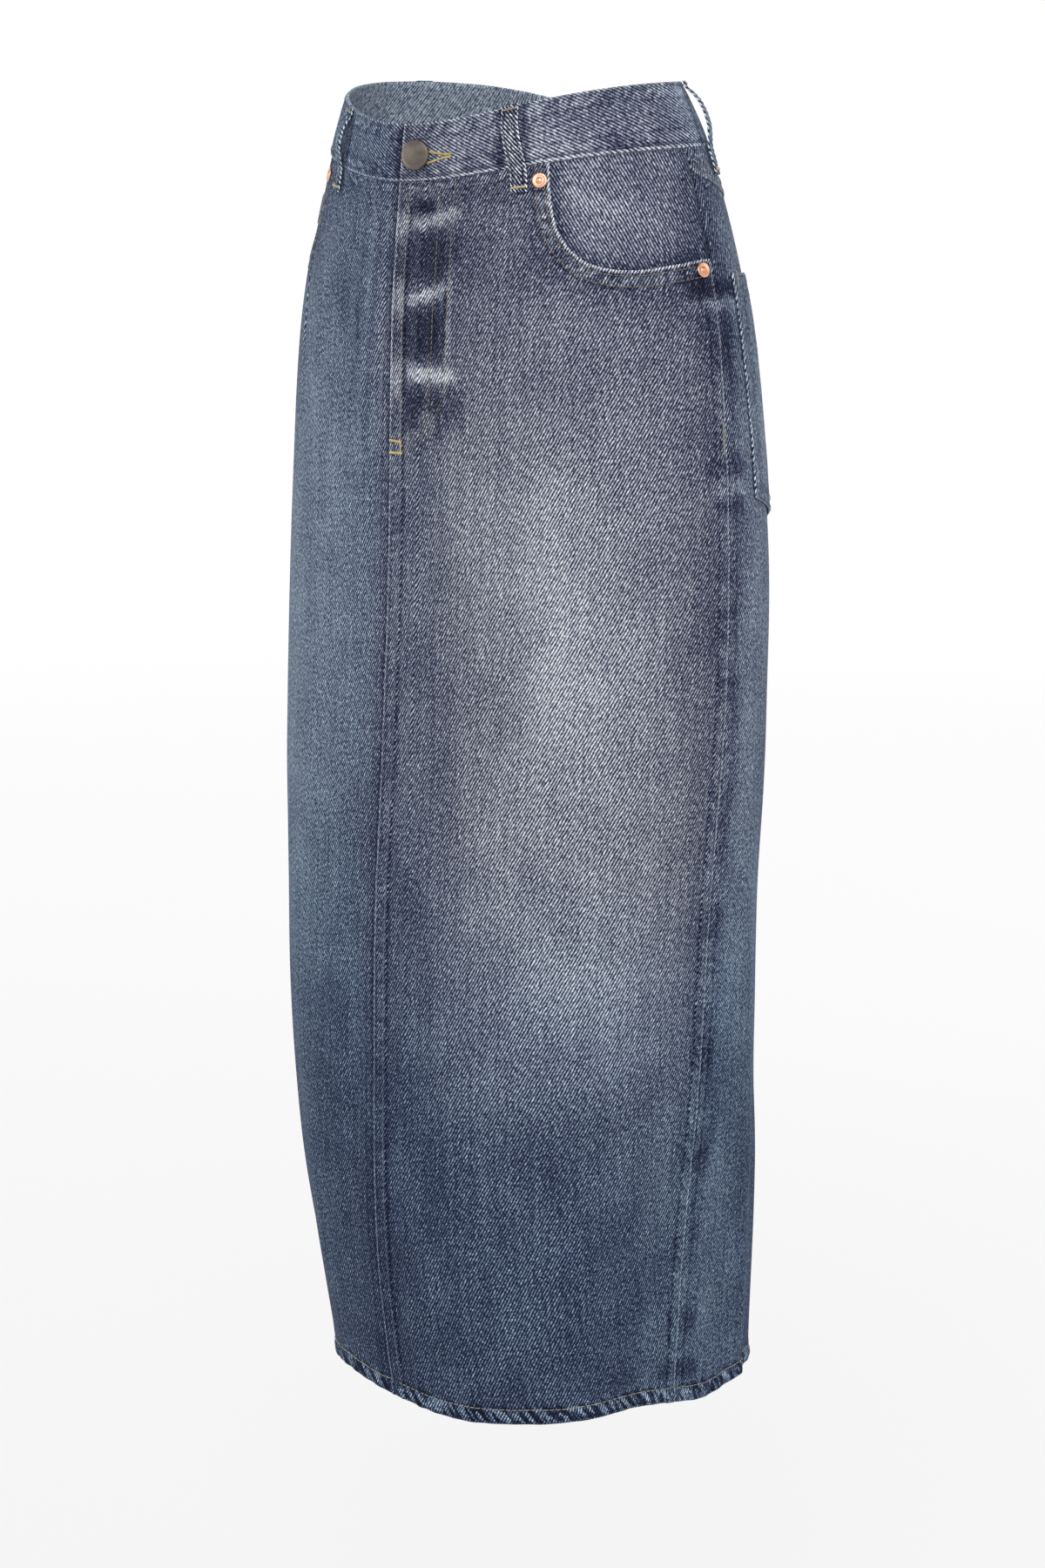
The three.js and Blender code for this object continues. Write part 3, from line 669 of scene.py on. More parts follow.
def smooth_through(points, steps):
    """Catmull-Rom curve through points, with a number of steps for each stretch."""
    ends = np.vstack([2 * points[0] - points[1], points, 2 * points[-1] - points[-2]])
    made = []
    for k, count in enumerate(steps):
        p0, p1, p2, p3 = ends[k:k + 4]
        for t in np.arange(count) / count:
            bend, twist = 2 * p0 - 5 * p1 + 4 * p2 - p3, 3 * p1 - p0 - 3 * p2 + p3
            made.append(0.5 * (2 * p1 + (p2 - p0) * t + bend * t ** 2 + twist * t ** 3))
    return np.array(made + [points[-1]])


def long_rows(top, middle=262):
    upper = top[:, None] + TOP_STEPS
    lower = LENGTH - HEM_STEPS + 0 * top[:, None]
    share = np.arange(1, middle) / middle
    between = upper[:, -1:] + (lower[:, :1] - upper[:, -1:]) * share
    return np.hstack([upper, between, lower])


def hem_swell(drop):
    above = LENGTH - drop
    return 0.9 * ease(HEM, 8.0, above) - 0.35 * near(above - HEM, 0.9) - 0.4 * near(above, 0.5)


def hem_inside(drop):
    return CLOTH - THIN - ease(HEM, 9.0, LENGTH - drop) * 0.9


def front_grid():
    insets = np.array(
        [0.15, 0.8, 1.8, 3, 4.4, 5.9, 7.4, 8.9, 10.2, 11.2, 11.9, 12.4, 13.2, 14.6, 16.6, 19, 21.6]
    )
    bridge = np.arange(1, 5) / 4
    band = np.concatenate([np.arange(14, 20, 1.0), np.arange(20, 32, 0.5), np.arange(32, 54.3, 1.0)])
    scoop = smooth_through(SCOOP, [4, 4, 4, 5, 5, 5, 5, 5])
    side = np.array([-7.8, -7.0, -5.6, -4.2, -2.8, -1.6, -0.8, -0.15])
    base = np.concatenate([0 * insets, 13 * bridge, band, scoop[:, 0], 90 + 0 * side])
    band_foot = np.interp(band, (13, 22, 31, 40, 47.5, 54.3), (13, 21, 29, 37, 44, 50))
    foot = np.concatenate([0 * insets, 13 * bridge, band_foot, scoop[:, 2], 90 + 0 * side])
    top = np.concatenate([np.full(len(insets) + 4 + len(band), PANEL_TOP), scoop[:, 1], 99.5 + 0 * side])
    inset = np.concatenate([insets, 21.6 * (1 - bridge), 0 * band, 0 * scoop[:, 0], side])
    drop = long_rows(top)
    share = np.clip((drop - top[:, None]) / (LENGTH - top[:, None]), 0, 1)
    angle = base[:, None] + (foot - base)[:, None] * ease(0, 1, np.sqrt(share))
    angle = angle + degrees_for(inset[:, None], base[:, None], drop)
    first = len(insets) + 4 + len(band)
    return angle, drop, inset, range(first, first + len(scoop))


left_angle, left_drop, left_inset, scoop_columns = front_grid()
print("front grid:", left_angle.shape)

# %% [markdown]
# The fly lies between the seam and the J-shaped row of stitches. Three bars across it were rubbed pale and
# the cloth between them stayed almost black, because it lay in a hollow in the wash. These marks are what
# most makes the photo's fly, so each has its own row here.

# %% Fly and side marks
# millimetres from the seam, drop, half width, half height, drop per millimetre, shift
FLY_MARKS = [
    (5.5, 70, 6.5, 9, 0, 0.14), (5.5, 94, 6, 14, 0, -0.10), (5.5, 120, 6, 11, 0, 0.13),
    (5.5, 146, 6, 12, 0, -0.08), (5.5, 173, 6, 13, 0, 0.14), (5.5, 199, 6, 12, 0, -0.10),
    (0.8, 130, 1.5, 82, 0, 0.16), (12, 130, 1.0, 78, 0, -0.10), (22, 46, 14, 5, 0, 0.06),
    (23, 56.5, 10, 5, 0.05, -0.18), (33, 66, 20, 5.0, -0.2, 0.22), (28, 92, 15, 19, -0.05, -0.22),
    (20, 92, 2.6, 12, 0, 0.10), (47, 88, 8, 13, -0.3, -0.10), (30, 117, 18, 4.5, -0.35, 0.26),
    (28, 143, 15.5, 18.5, 0, -0.23), (21, 144, 2.6, 12, 0, 0.10), (35, 169, 21, 4.6, 0.02, 0.33),
    (20, 192, 7, 15, 0, -0.22), (34, 186, 9, 9, 0.2, -0.14), (52, 190, 12, 14, -0.3, -0.09),
    # The dark line at 45 mm is painted shadow at the hidden fly facing's edge, with a pale line beside it at
    # 48.5 mm.
    (45.0, 134, 1.3, 32, 0, -0.14), (48.5, 136, 2.2, 34, 0, 0.12), (33, 212, 14, 7, -0.6, -0.06),
]
SIDE_MARKS = [
    (9, 116, 13, 5, 0, -0.15), (10, 125.5, 16, 4, 0.05, 0.12), (5, 152, 5, 20, 0, -0.10),
    (7, 224, 9, 7, 0, -0.10), (6, 237, 8, 5, 0, 0.08), (6, 250, 7, 7, 0, -0.08), (5, 300, 4, 22, 0, -0.06),
    (5, 372, 4, 16, 0, -0.07), (5, 452, 4, 20, 0, -0.06), (5, 520, 5, 13, 0, -0.09),
    (5, 566, 5, 10, 0, 0.04), (5, 610, 5, 14, 0, -0.09), (6, 655, 5, 8, 0, 0.06), (6, 688, 6, 12, 0, -0.09),
    (6, 740, 5, 9, 0, -0.08), (6, 778, 5, 8, 0, 0.05), (7, 806, 7, 9, 0, -0.09), (8, 842, 9, 7, 0, -0.13),
]


def seam_numbers(choices):
    """The nearest seam: each has its distance, allowance width, place along it, pale edge and puckers."""
    def pick(values):
        stack = np.stack([np.broadcast_to(value, choices[0][0].shape) for value in values])
        return np.take_along_axis(stack, nearest, 0)[0]

    scaled = [np.broadcast_to(np.abs(seam[0]) * 12 / seam[1], choices[0][0].shape) for seam in choices]
    nearest = np.stack(scaled).argmin(0)[None]
    return {
        "seam_off": pick(scaled), "seam_run": pick([seam[2] for seam in choices]),
        "seam_pale": pick([seam[3] for seam in choices]), "seam_rungs": pick([seam[4] for seam in choices]),
    }


def distance_to_edge(points, edge):
    """Millimetres from each point to a drawn edge, and how far along it."""
    quarters = [edge[:-1] + (edge[1:] - edge[:-1]) * t for t in (0, 0.25, 0.5, 0.75)]
    fine = np.stack(quarters, 1).reshape(-1, 3)
    run = np.concatenate([[0], np.cumsum(np.linalg.norm(np.diff(fine, axis=0), axis=1))])
    flat = points.reshape(-1, 3)
    best, where = np.full(len(flat), 1e9), np.zeros(len(flat))
    for spot, along_edge in zip(fine, run):
        off = ((flat - spot) ** 2).sum(1)
        closer = off < best
        best[closer], where[closer] = off[closer], along_edge
    return np.sqrt(best).reshape(points.shape[:-1]), where.reshape(points.shape[:-1])


def front(side, word):
    angle, drop, inset = side * left_angle, left_drop, left_inset
    surface = skin(angle, drop)
    from_cf = arc(angle, drop)
    to_side = from_cf[-1:] - from_cf
    edge = surface[scoop_columns.start:, 0]
    scoop_off, scoop_run = distance_to_edge(surface, edge)
    below_band = np.where(np.abs(angle) < 55, drop - PANEL_TOP, 99)
    seams = seam_numbers([
        (from_cf, 12, drop, 0.2, 0.04) if side > 0 else (from_cf, 7, drop, -0.04, 0.02),
        (to_side, 8, drop + 1000, 0.26, 0.07), (scoop_off, 10.5, scoop_run + 3000, 0.2, 0.09),
        (below_band, 7, from_cf + 4000, -0.05, 0.08), (LENGTH - drop, 11, angle * 2.3 + 5000, 0.03, 0.24),
    ])
    wash = rubbed(
        fade(angle, drop), (-0.05, scoop_off - 17, 6), (-0.04, below_band - 12, 10),
        (0.12, scoop_off - 1.3, 1.7), (-0.10, scoop_off - 3.8, 0.8), (-0.06, scoop_off - 10.4, 1.0)
    )
    # The first term is painted shade along centre front: the cloth within about 30 mm of it is darker below
    # the fly.
    wash = wash - 0.045 * near(from_cf, 30) * ease(200, 260, drop) - 0.05 * near(to_side - 12, 9)
    if side > 0:
        wash = wash + patches(FLY_MARKS, from_cf, drop)
    else:
        # Painted shadow: the wearer's right front is darkened within a few millimetres of centre front, where
        # the left front's edge overlaps it.
        wash = wash - near(from_cf, 4.5) * (0.24 - 0.14 * ease(205, 230, drop) - 0.06 * ease(540, 680, drop))
        # Painted crease shade and painted crease light: slanting dark and pale stripes beside the fly on the
        # wearer's right front.
        for middle, lift in ((16, -0.07), (22, 0.04), (31, -0.06)):
            part = ease(45, 70, drop) * (1 - ease(150, 230, drop))
            wash = wash + lift * near(from_cf - middle - 0.06 * (drop - 60), 3.0) * part
    wash = wash + patches(SIDE_MARKS, to_side * 1.1, drop + (0 if side > 0 else 9)) * 0.8
    felled = (inset > 0) & (inset < FRONT_SEAM) & (side > 0) | (inset < -0.1)
    rounded = 0.3 * near(from_cf, 0.6) + 0.3 * near(to_side, 0.6) + 0.35 * near(drop - drop[:, :1], 0.5)
    sink = 1.3 * (1 - ease(0, 9, np.abs(angle))) * (1 - ease(182, 272, drop)) if side < 0 else 0
    quilt = (
        -0.28 * near(scoop_off - 3.4, 0.9) - 0.28 * near(scoop_off - 9.6, 0.9)
        + 0.22 * near(scoop_off - 6.4, 2.0)
    )
    outer = CLOTH + FELL * felled[:, None] + hem_swell(drop) - rounded - sink + quilt
    inner = hem_inside(drop) - sink
    grids = mirror(side, angle, drop, outer, inner)
    marks = marks_for(side, wash, seams)
    return cloth_piece(f"front_{word}", *grids, marks, [panel_denim, inside_denim], on=["waistband"])


for side, word in SIDES:
    front(side, word)

# %% [markdown]
# ## Back panels and yokes
# The back hides its waist shaping in the yoke, a curved strip whose lower edge is felled over the back
# panel. The two backs meet at centre back down to the slit, whose edges part by 18 mm at the hem.

# %% Backs
def yoke_seam(angle):
    return 51 + 57 * np.clip((angle - 90) / 90, 0, 1) ** 0.85


def slit_gap(drop):
    """How far each back edge stands from centre back: almost nothing above the slit, 9 mm at the hem."""
    return 0.15 + 9 * np.clip((drop - SLIT_DROP) / (LENGTH - SLIT_DROP), 0, 1) ** 1.2


def back(side, word):
    at_side = np.array([0.15, 0.8, 1.7, 2.7, 3.8, 5, 6.3, 7.8])
    at_back = np.array([-9.5, -8.6, -7.8, -6.4, -5, -3.6, -2.2, -1, 0])
    middle = np.arange(92.2, 175.5, 0.98)
    base = np.concatenate([90 + 0 * at_side, middle, 180 + 0 * at_back])
    inset = np.concatenate([at_side, 0 * middle, at_back])
    guess = base + degrees_for(inset, base, 300.0)
    drop = long_rows(yoke_seam(guess) + 0.3)
    moved = inset[:, None] - np.where(base[:, None] == 180, slit_gap(drop), 0)
    angle = base[:, None] + degrees_for(moved, base[:, None] - 1, drop)
    from_side = arc(side * angle, drop)
    to_back = from_side[-1:] - from_side
    below_yoke = drop - drop[:, :1]
    seams = seam_numbers([
        (from_side + 0.5, 7, drop + 1000, -0.12, 0.06), (to_back, 8, drop + 2000, 0.15, 0.06),
        (below_yoke, 6, from_side, -0.05, 0.07),
        (LENGTH - drop, 11, side * angle * 2.3 + 5000, 0.03, 0.24),
    ])
    wash = (
        fade(side * angle, drop)
        + patches(SIDE_MARKS, from_side * 0.8, drop + (0 if side > 0 else 9)) * 1.15
    )
    wash = rubbed(wash, (-0.07, from_side - 9, 9), (-0.04, below_yoke - 8, 10), (-0.04, to_back - 12, 8))
    rounded = 0.3 * near(from_side, 0.6) + 0.3 * near(to_back, 0.6) + 0.35 * near(below_yoke, 0.5)
    felled = (base == 180) & (inset > -BACK_SEAM)
    outer = CLOTH + FELL * felled[:, None] + hem_swell(drop) - rounded
    inner = hem_inside(drop)
    grids = mirror(side, side * angle, drop, outer, inner)
    marks = marks_for(side, wash, seams)
    return cloth_piece(f"back_{word}", *grids, marks, [panel_denim, inside_denim], on=[f"yoke_{word}"])


def yoke(side, word):
    share = np.linspace(0, 1, 91)
    base = 90 + 90 * share
    low = yoke_seam(base)[:, None]
    steps = np.linspace(0, 1, 26)
    above = np.array([8.6, 8.0, 6.5, 5, 3.6, 2.2, 1.0, 0.4, 0])
    drop = np.hstack([PANEL_TOP + (low - 9.4 - PANEL_TOP) * steps, low - above])
    angle = base[:, None] + degrees_for(0.3 * (0.5 - share)[:, None], base[:, None], drop)
    from_side = arc(side * angle, drop)
    seams = seam_numbers([
        (low - drop, 8, from_side, 0.16, 0.07), (from_side, 8, drop + 1000, 0.03, 0.05),
        (from_side[-1:] - from_side, 8, drop + 2000, 0.1, 0.05),
        (drop - PANEL_TOP, 6, from_side + 4000, -0.05, 0.06),
    ])
    outer = (
        CLOTH + FELL * (low - drop < BACK_SEAM) - 0.35 * near(low - drop, 0.5) - 0.2 * near(from_side, 0.6)
    )
    wash = fade(side * angle, drop) + 0.01 - 0.05 * near(from_side - 8, 8)
    grids = mirror(side, side * angle, drop, outer, CLOTH - THIN + 0 * drop)
    marks = marks_for(side, wash, seams)
    return cloth_piece(f"yoke_{word}", *grids, marks, [yoke_denim, inside_denim], on=["waistband"])


for side, word in SIDES:
    back(side, word)
    yoke(side, word)

# %% [markdown]
# ## Waistband
# One folded strip goes all round. Its left end stops at centre front and its right end runs on 34 mm
# beneath, where the button is sewn. The folded edges are round, the cloth swells a little between its two
# rows of stitches, and the top edge is rubbed pale.

# %% Waistband
def waistband():
    under = 360 + float(degrees_for(34, 0.0, BAND / 2))
    start = float(degrees_for(0.15, 0.0, BAND / 2))
    left_end = start + np.array([0, 0.15, 0.4, 0.7, 1.0, 1.4, 1.9])
    step_down = np.concatenate([np.arange(350, 358.4, 0.6), [358.6, 359.0, 359.3, 359.5, 359.8]])
    turns = np.concatenate(
        [left_end, np.arange(2.6, 350, 0.9), step_down, np.arange(360.6, under, 1.0), [under]]
    )
    drops = np.array([
        0, 0.35, 0.9, 1.7, 2.5, 3.4, 5, 7.5, 10.5, 14, 17.5, 21, 24.5, 28, 31,
        33.4, 34.9, 35.9, 36.6, 37.2, 37.7, BAND,
    ])
    angle, drop = turns[:, None] + 0 * drops, drops + 0 * turns[:, None]
    sink = 2.9 * ease(350, 359.4, angle)
    from_edge = np.minimum(drop, BAND - drop)
    run = angle * 1.95
    profile = 0.55 * near(from_edge, 0.6) + 0.256 * (1 - near(from_edge, 1.5)) * near(from_edge - 2.6, 1.0)
    swell = (
        0.22 * ease(3, 10, from_edge) + 0.14 * uneven(run, drop * 0.6, 6.5)
        + 0.16 * uneven(run * 1.4, drop, 2.9) * near(from_edge - 4, 4)
    )
    outer = 2.4 - sink - profile + swell - 0.25 * near(run - start * 1.95, 0.5) - 0.25
    inner = -0.2 - sink + 0.45 * near(from_edge, 0.6)
    from_end = run - start * 1.95
    wash = fade(angle, drop) + 0.075 + 0.07 * near(drop, 2.2) + 0.04 * uneven(run, drop * 1.4, 11)
    wash = rubbed(
        wash, (0.20, drop - 37.5, 1.1), (-0.12, drop - 35.0, 0.9), (0.26, from_end, 1.6),
        (-0.1, from_end - 3.6, 0.9)
    )
    # Painted shadow: the band is darkened just to the wearer's right of centre front, where it dives under
    # the band's left end.
    wash = (
        wash - 0.06 * near(turned(angle, 0) + 8, 9)
        - 0.26 * near(turned(angle, 0) + 1.6, 2.0) * (angle > 180)
    )
    # Painted shadow: a dark line on the band about 7 mm each side of every belt loop's middle, just beside
    # the loop's edges.
    for middle in (44, -39, 101, -101, 180):
        wash = wash - 0.22 * near(np.abs(turned(angle, middle)) * 1.95 - 7.0, 1.9)
    wash = (
        wash + 0.05 * near(turned(angle, 56), 12) * near(drop - 24, 12) - 0.08 * near(turned(angle, 74), 12)
    )
    marks = {
        "start": 0.0, "level": BAND / 2, "wash": wash, "seam_off": from_edge * 1.3, "seam_run": run,
        "seam_pale": 0.05, "seam_rungs": 0.10
    }
    return cloth_piece(
        "waistband", angle, drop, outer, inner, marks, [band_denim, inside_denim], held="folded"
    )


waistband()

# %% [markdown]
# ## Pocket bearers, coin pocket and fly
# Behind each scooped edge lies a piece of the same denim, cut the other way of the grain, so its wales lean
# back. It is painted darker under the edge, as painted shade, and is rubbed where a hand goes in. The fly
# facing and shield hide behind the left front and are finished plainly.

# %% Bearers and fly pieces
def bearer(side, word):
    angle = np.linspace(47, 89.9, 74)[:, None] + np.zeros(52)
    drop = np.linspace(PANEL_TOP, 126, 52) + 0 * angle
    shade, _ = distance_to_edge(skin(side * angle, drop), skin(side * SCOOP[:, 0], SCOOP[:, 1]))
    # Painted shade: the bearer is darkened within a few millimetres of the scoop edge that lies over it.
    wash = (
        fade(side * angle, drop) + 0.035 - 0.15 * near(shade, 6)
        + 0.08 * near(angle - 66, 11) * near(drop - 66 - 0.9 * (angle - 66), 6.5)
    )
    wash = wash - 0.09 * near(angle - 89, 4)
    marks = {"start": 0.0, "from_end": side < 0, "wash": mirror(side, wash)[0]}
    grids = mirror(side, side * angle, drop)
    return cloth_piece(
        f"pocket_bearer_{word}", *grids, -1.0, -1.9, marks, [bearer_denim, inside_denim], on=["waistband"]
    )


def coin_pocket():
    first, last, top = -81, -58.5, 64
    angle = np.linspace(first, last, 34)[:, None] + np.zeros(16)
    drop = np.linspace(top, 82, 16) + 0 * angle
    rim = np.minimum(drop - top, np.minimum(angle - first, last - angle) * 2.6)
    outer = 0.95 - 0.5 * near(rim, 0.7)
    marks = {
        "start": 0.0, "wash": fade(angle, drop) + 0.02, "seam_off": rim * 2, "seam_run": (angle + drop) * 2,
        "seam_pale": 0.1
    }
    return cloth_piece(
        "coin_pocket", angle, drop, outer, 0.05, marks, [pocket_denim], on=["pocket_bearer_right"]
    )


def fly_piece(name, across, lowest, out):
    down = np.linspace(0, 1, 70)
    top = BAND + 0.6
    drop = top + down * (lowest[:, None] - top)
    angle = degrees_for(across[:, None], 0.0, drop)
    marks = {"start": 0.0, "wash": 0.38 + 0 * drop}
    return cloth_piece(
        name, angle, drop, out, out - THIN, marks, [panel_denim, inside_denim], on=["waistband"]
    )


for side, word in SIDES:
    bearer(side, word)
coin_pocket()
spread_out = np.linspace(0, 1, 26)
fly_piece("fly_facing", 1 + 45 * spread_out, 220.3 - 48 * ease(0.25, 1, spread_out), -1.1)
fly_piece("fly_shield", -6 + 46 * spread_out, 220.6 + 0 * spread_out, -3.7)

# %% [markdown]
# ## Back pockets
# Five-sided patches, wider at the top than at the foot and ending in a point. Their turned edges are
# thicker than the middle, and a pocket that has been washed puffs a little between its stitches.

# %% Back pockets
POCKET_START, POCKET_DROP, POCKET_TILT = 96.3, 108, 6
POCKET_WIDE, POCKET_TALL, POCKET_POINT, POCKET_TAPER = 160, 138, 22, 8
POCKET_OUT = 4.0


def on_pocket(across, drop):
    """The angle a distance behind the pocket's front edge, in two halves because the hip is curved."""
    middle = POCKET_START + degrees_for(across / 2, POCKET_START, drop)
    return middle + degrees_for(across / 2, middle, drop)


def back_pocket(side, word):
    share = np.concatenate(
        [[0, 0.004, 0.01, 0.02], np.linspace(0.035, 0.965, 56), [0.98, 0.99, 0.996, 1.0]]
    )[:, None]
    down = np.concatenate([[0, 0.004, 0.012, 0.025], np.linspace(0.04, 0.96, 52), [0.975, 0.988, 0.996, 1.0]])
    across = share * POCKET_WIDE + POCKET_TAPER * down * (1 - 2 * share)
    peak = 1 - np.abs(2 * share - 1)
    height = POCKET_TALL + POCKET_POINT * peak - POCKET_TILT * share
    drop = POCKET_DROP + POCKET_TILT * share + down * height
    angle = on_pocket(across, drop)
    sides = np.minimum(share, 1 - share) * 152
    edge = np.minimum(sides, np.minimum(down, 1 - down) * height)
    puff = 0.25 * ease(8, 30, edge) + 0.12 * uneven(across * 1.5, drop, 6)
    outer = (
        3.85 - 0.9 * near(edge, 0.55) - 0.25 * near(edge - 1.8, 0.8) - 0.25 * near(edge - 8, 0.9)
        + puff * 0.6
    )
    wash = fade(side * angle, drop) + 0.05 * near(edge - 40, 30) - 0.06 * near(edge - 12, 4) + 0.02
    wash = wash + 0.10 * near(share * POCKET_WIDE, 5) * near(down * height, 9)
    runs = np.where(sides < np.minimum(down, 1 - down) * height, drop, across + 900)
    seams = seam_numbers([(edge, 9, runs, 0.09, 0.06)])
    grids = mirror(side, side * angle, drop, outer, CLOTH + 1.02 + 0 * drop)
    marks, on = marks_for(side, wash, seams), [f"back_{word}"]
    return cloth_piece(f"back_pocket_{word}", *grids, marks, [pocket_denim, inside_denim], held="laid", on=on)


for side, word in SIDES:
    back_pocket(side, word)

# %% [markdown]
# ## Belt loops
# A loop is a narrow folded strip, sewn flat at both ends and standing clear of the band between them, so
# that a belt can pass. Its sides are rounded and the two edge rows draw a shallow channel down each side.

# %% Belt loops
LOOP_HALF, LOOP_TOP, LOOP_FOOT = 5.5, -0.5, 54.5
LOOP_BOW_DROPS = (LOOP_TOP, 5, 8.5, 14, 21, 28, 34, 38.5, 42, LOOP_FOOT)
LOOP_BOW_SHARES = (0, 0, 0.42, 0.86, 1, 0.86, 0.42, 0.06, 0.04, 0.04)
LOOPS = {
    "belt_loop_front_left": (43.5, 46, 4.4), "belt_loop_front_right": (-39, -38.5, 4.4),
    "belt_loop_side_left": (101, 101, 4.8), "belt_loop_side_right": (-101, -101, 4.8),
    "belt_loop_back": (180, 180, 5.8),
}


def loop_place(name, across, drop):
    high, low, bow = LOOPS[name]
    middle = high + (low - high) * ease(0, 50, drop)
    fine = np.interp(drop, LOOP_BOW_DROPS, LOOP_BOW_SHARES) * bow
    return middle + degrees_for(across, middle, drop), 2.7 + fine


def belt_loop(name):
    half = np.array([0.8, 2.2, 3.2, 3.8, 4.6, 5.2, LOOP_HALF])
    across = np.concatenate([-half[::-1], half])[:, None]
    drop = np.concatenate([[LOOP_TOP, -0.1], np.linspace(0.6, 53.7, 68), [54.2, LOOP_FOOT]]) + 0 * across
    angle, out = loop_place(name, across, drop)
    ends = np.minimum(drop - LOOP_TOP, LOOP_FOOT - drop)
    edge = LOOP_HALF - np.abs(across)
    sides = 0.75 * near(edge, 0.45) + 0.22 * near(edge - 1.6, 0.6)
    outer = out + 1.75 - sides - 0.4 * near(ends, 0.6) - 0.2 * near(ends - 3.4, 1.0)
    inner = out + 0.5 + 0.35 * near(edge, 0.45)
    wash = rubbed(0.40, (0.24, edge, 0.9), (-0.20, edge - 1.9, 0.7)) + 0.05 * uneven(across * 3, drop, 3)
    wash = rubbed(wash, (-0.06, ends - 5.5, 1.6))
    marks = {"start": 0.0, "wash": wash + 0.04 * near(drop - 21, 12)}
    outer = outer + 0.1 * uneven(across * 2, drop, 2.6)
    return cloth_piece(name, angle, drop, outer, inner, marks, [loop_denim], held="folded", on=["waistband"])


for name in LOOPS:
    belt_loop(name)

# %% [markdown]
# ## Sewing thread
# Topstitching is what a viewer reads as jeans-making. A dashed texture would lie flat and blur, so each
# stitch is a little capsule of thread, low at both ends where it dives into the cloth, and a row of them is
# laid along a path on the worn surface. All the stitches of one colour join into one mesh.

# %% Stitches
THREADS = {}
RING = np.array([(math.cos(a), math.sin(a)) for a in np.arange(5) * 2 * math.pi / 5])
BEAD = [(0.0, 0.35, -0.12), (0.14, 0.95, 0.1), (0.5, 1.0, 0.2), (0.86, 0.95, 0.1), (1.0, 0.35, -0.12)]


def thread_between(colour, start, end, up, radius):
    """One capsule for each pair of points; start, end and up are arrays of vectors in millimetres."""
    along = end - start
    length = np.linalg.norm(along, axis=1, keepdims=True)
    along = along / length
    sideways = np.cross(up, along)
    sideways /= np.linalg.norm(sideways, axis=1, keepdims=True)
    rings = []
    for share, fat, lift in BEAD:
        centre = start + along * length * share + up * lift * (1 if radius > 0.2 else 0.5)
        rings.append(
            centre[:, None]
            + radius * fat * (sideways[:, None] * RING[None, :, :1] + up[:, None] * RING[None, :, 1:])
        )
    THREADS.setdefault(colour, []).append(np.concatenate(rings, 1))


def sew(colour, angle, drop, out, stitch=3.1, gap=0.75, radius=0.27):
    angle, drop, out = (np.asarray(a, float) for a in np.broadcast_arrays(angle, drop, out))
    path = place(angle, drop, out)
    run = np.concatenate([[0], np.cumsum(np.linalg.norm(np.diff(path, axis=0), axis=1))])
    count = max(1, int(run[-1] / (stitch + gap)))
    pitch = run[-1] / count
    begin = np.arange(count) * pitch + gap / 2
    where = [
        np.interp(spots, run, values) for spots in (begin, begin + pitch - gap)
        for values in (angle, drop, out)
    ]
    a0, d0, o0, a1, d1, o1 = where
    up = outward((a0 + a1) / 2, (d0 + d1) / 2)
    thread_between(colour, place(a0, d0, o0), place(a1, d1, o1), up, radius)
    return count


def bar_tack(colour, angle, drop, out, length, width, lean=0.0, radius=0.23):
    """A dense zigzag: short threads, width long, side by side along a line with a length and a lean."""
    count = int(length / 0.42)
    at = (np.arange(count) / (count - 1) - 0.5) * length
    jitter = 0.12 * np.sin(np.arange(count) * 2.3)
    c, s = math.cos(math.radians(lean)), math.sin(math.radians(lean))
    ends = []
    for half, shift in ((-0.5, 0.0), (0.5, 0.2)):
        x, y = (at + shift) * c - (width * half + jitter) * s, (at + shift) * s + (width * half + jitter) * c
        ends.append((angle + degrees_for(x, angle, drop), drop + y))
    (a0, d0), (a1, d1) = ends
    thread_between(colour, place(a0, d0, out), place(a1, d1, out), outward(a0, d0), radius)


def line(start, end, count=200):
    return np.linspace(start, end, count)


def offset_path(points, off):
    """A path moved sideways by off millimetres in the cloth: points are (angle, drop)."""
    points = np.asarray(points, float)
    flat = np.stack([points[:, 0] / degrees_for(1.0, points[:, 0], points[:, 1]), points[:, 1]], -1)
    along = np.gradient(flat, axis=0)
    along /= np.linalg.norm(along, axis=1, keepdims=True)
    moved = flat + off * np.stack([-along[:, 1], along[:, 0]], -1)
    return moved[:, 0] * degrees_for(1.0, points[:, 0], points[:, 1]), moved[:, 1]


# %% [markdown]
# The rows follow the photo: two gold rows round each scoop, the J of the fly, tonal rows on the felled
# seams, a beige row above the hem, edge rows on the band and loops, and yellow bar tacks where the strain
# is.

# %% Rows of stitches
SCOOP_PATH = smooth_through(SCOOP[:, :2], [10] * 8)
J_INNER = np.array([(35, 40), (35, 120), (35, 168), (34, 188), (29.5, 201), (23, 209), (13.5, 213.5)])
J_OUTER = np.array(
    [(45.5, 40), (46, 120), (45.8, 172), (43.5, 185), (38.5, 196), (32, 205.5), (23, 213.5), (13.5, 219)]
)


def from_front(points, count=14):
    path = smooth_through(np.asarray(points, float), [count] * (len(points) - 1))
    return degrees_for(path[:, 0], 0.0, path[:, 1]), path[:, 1]


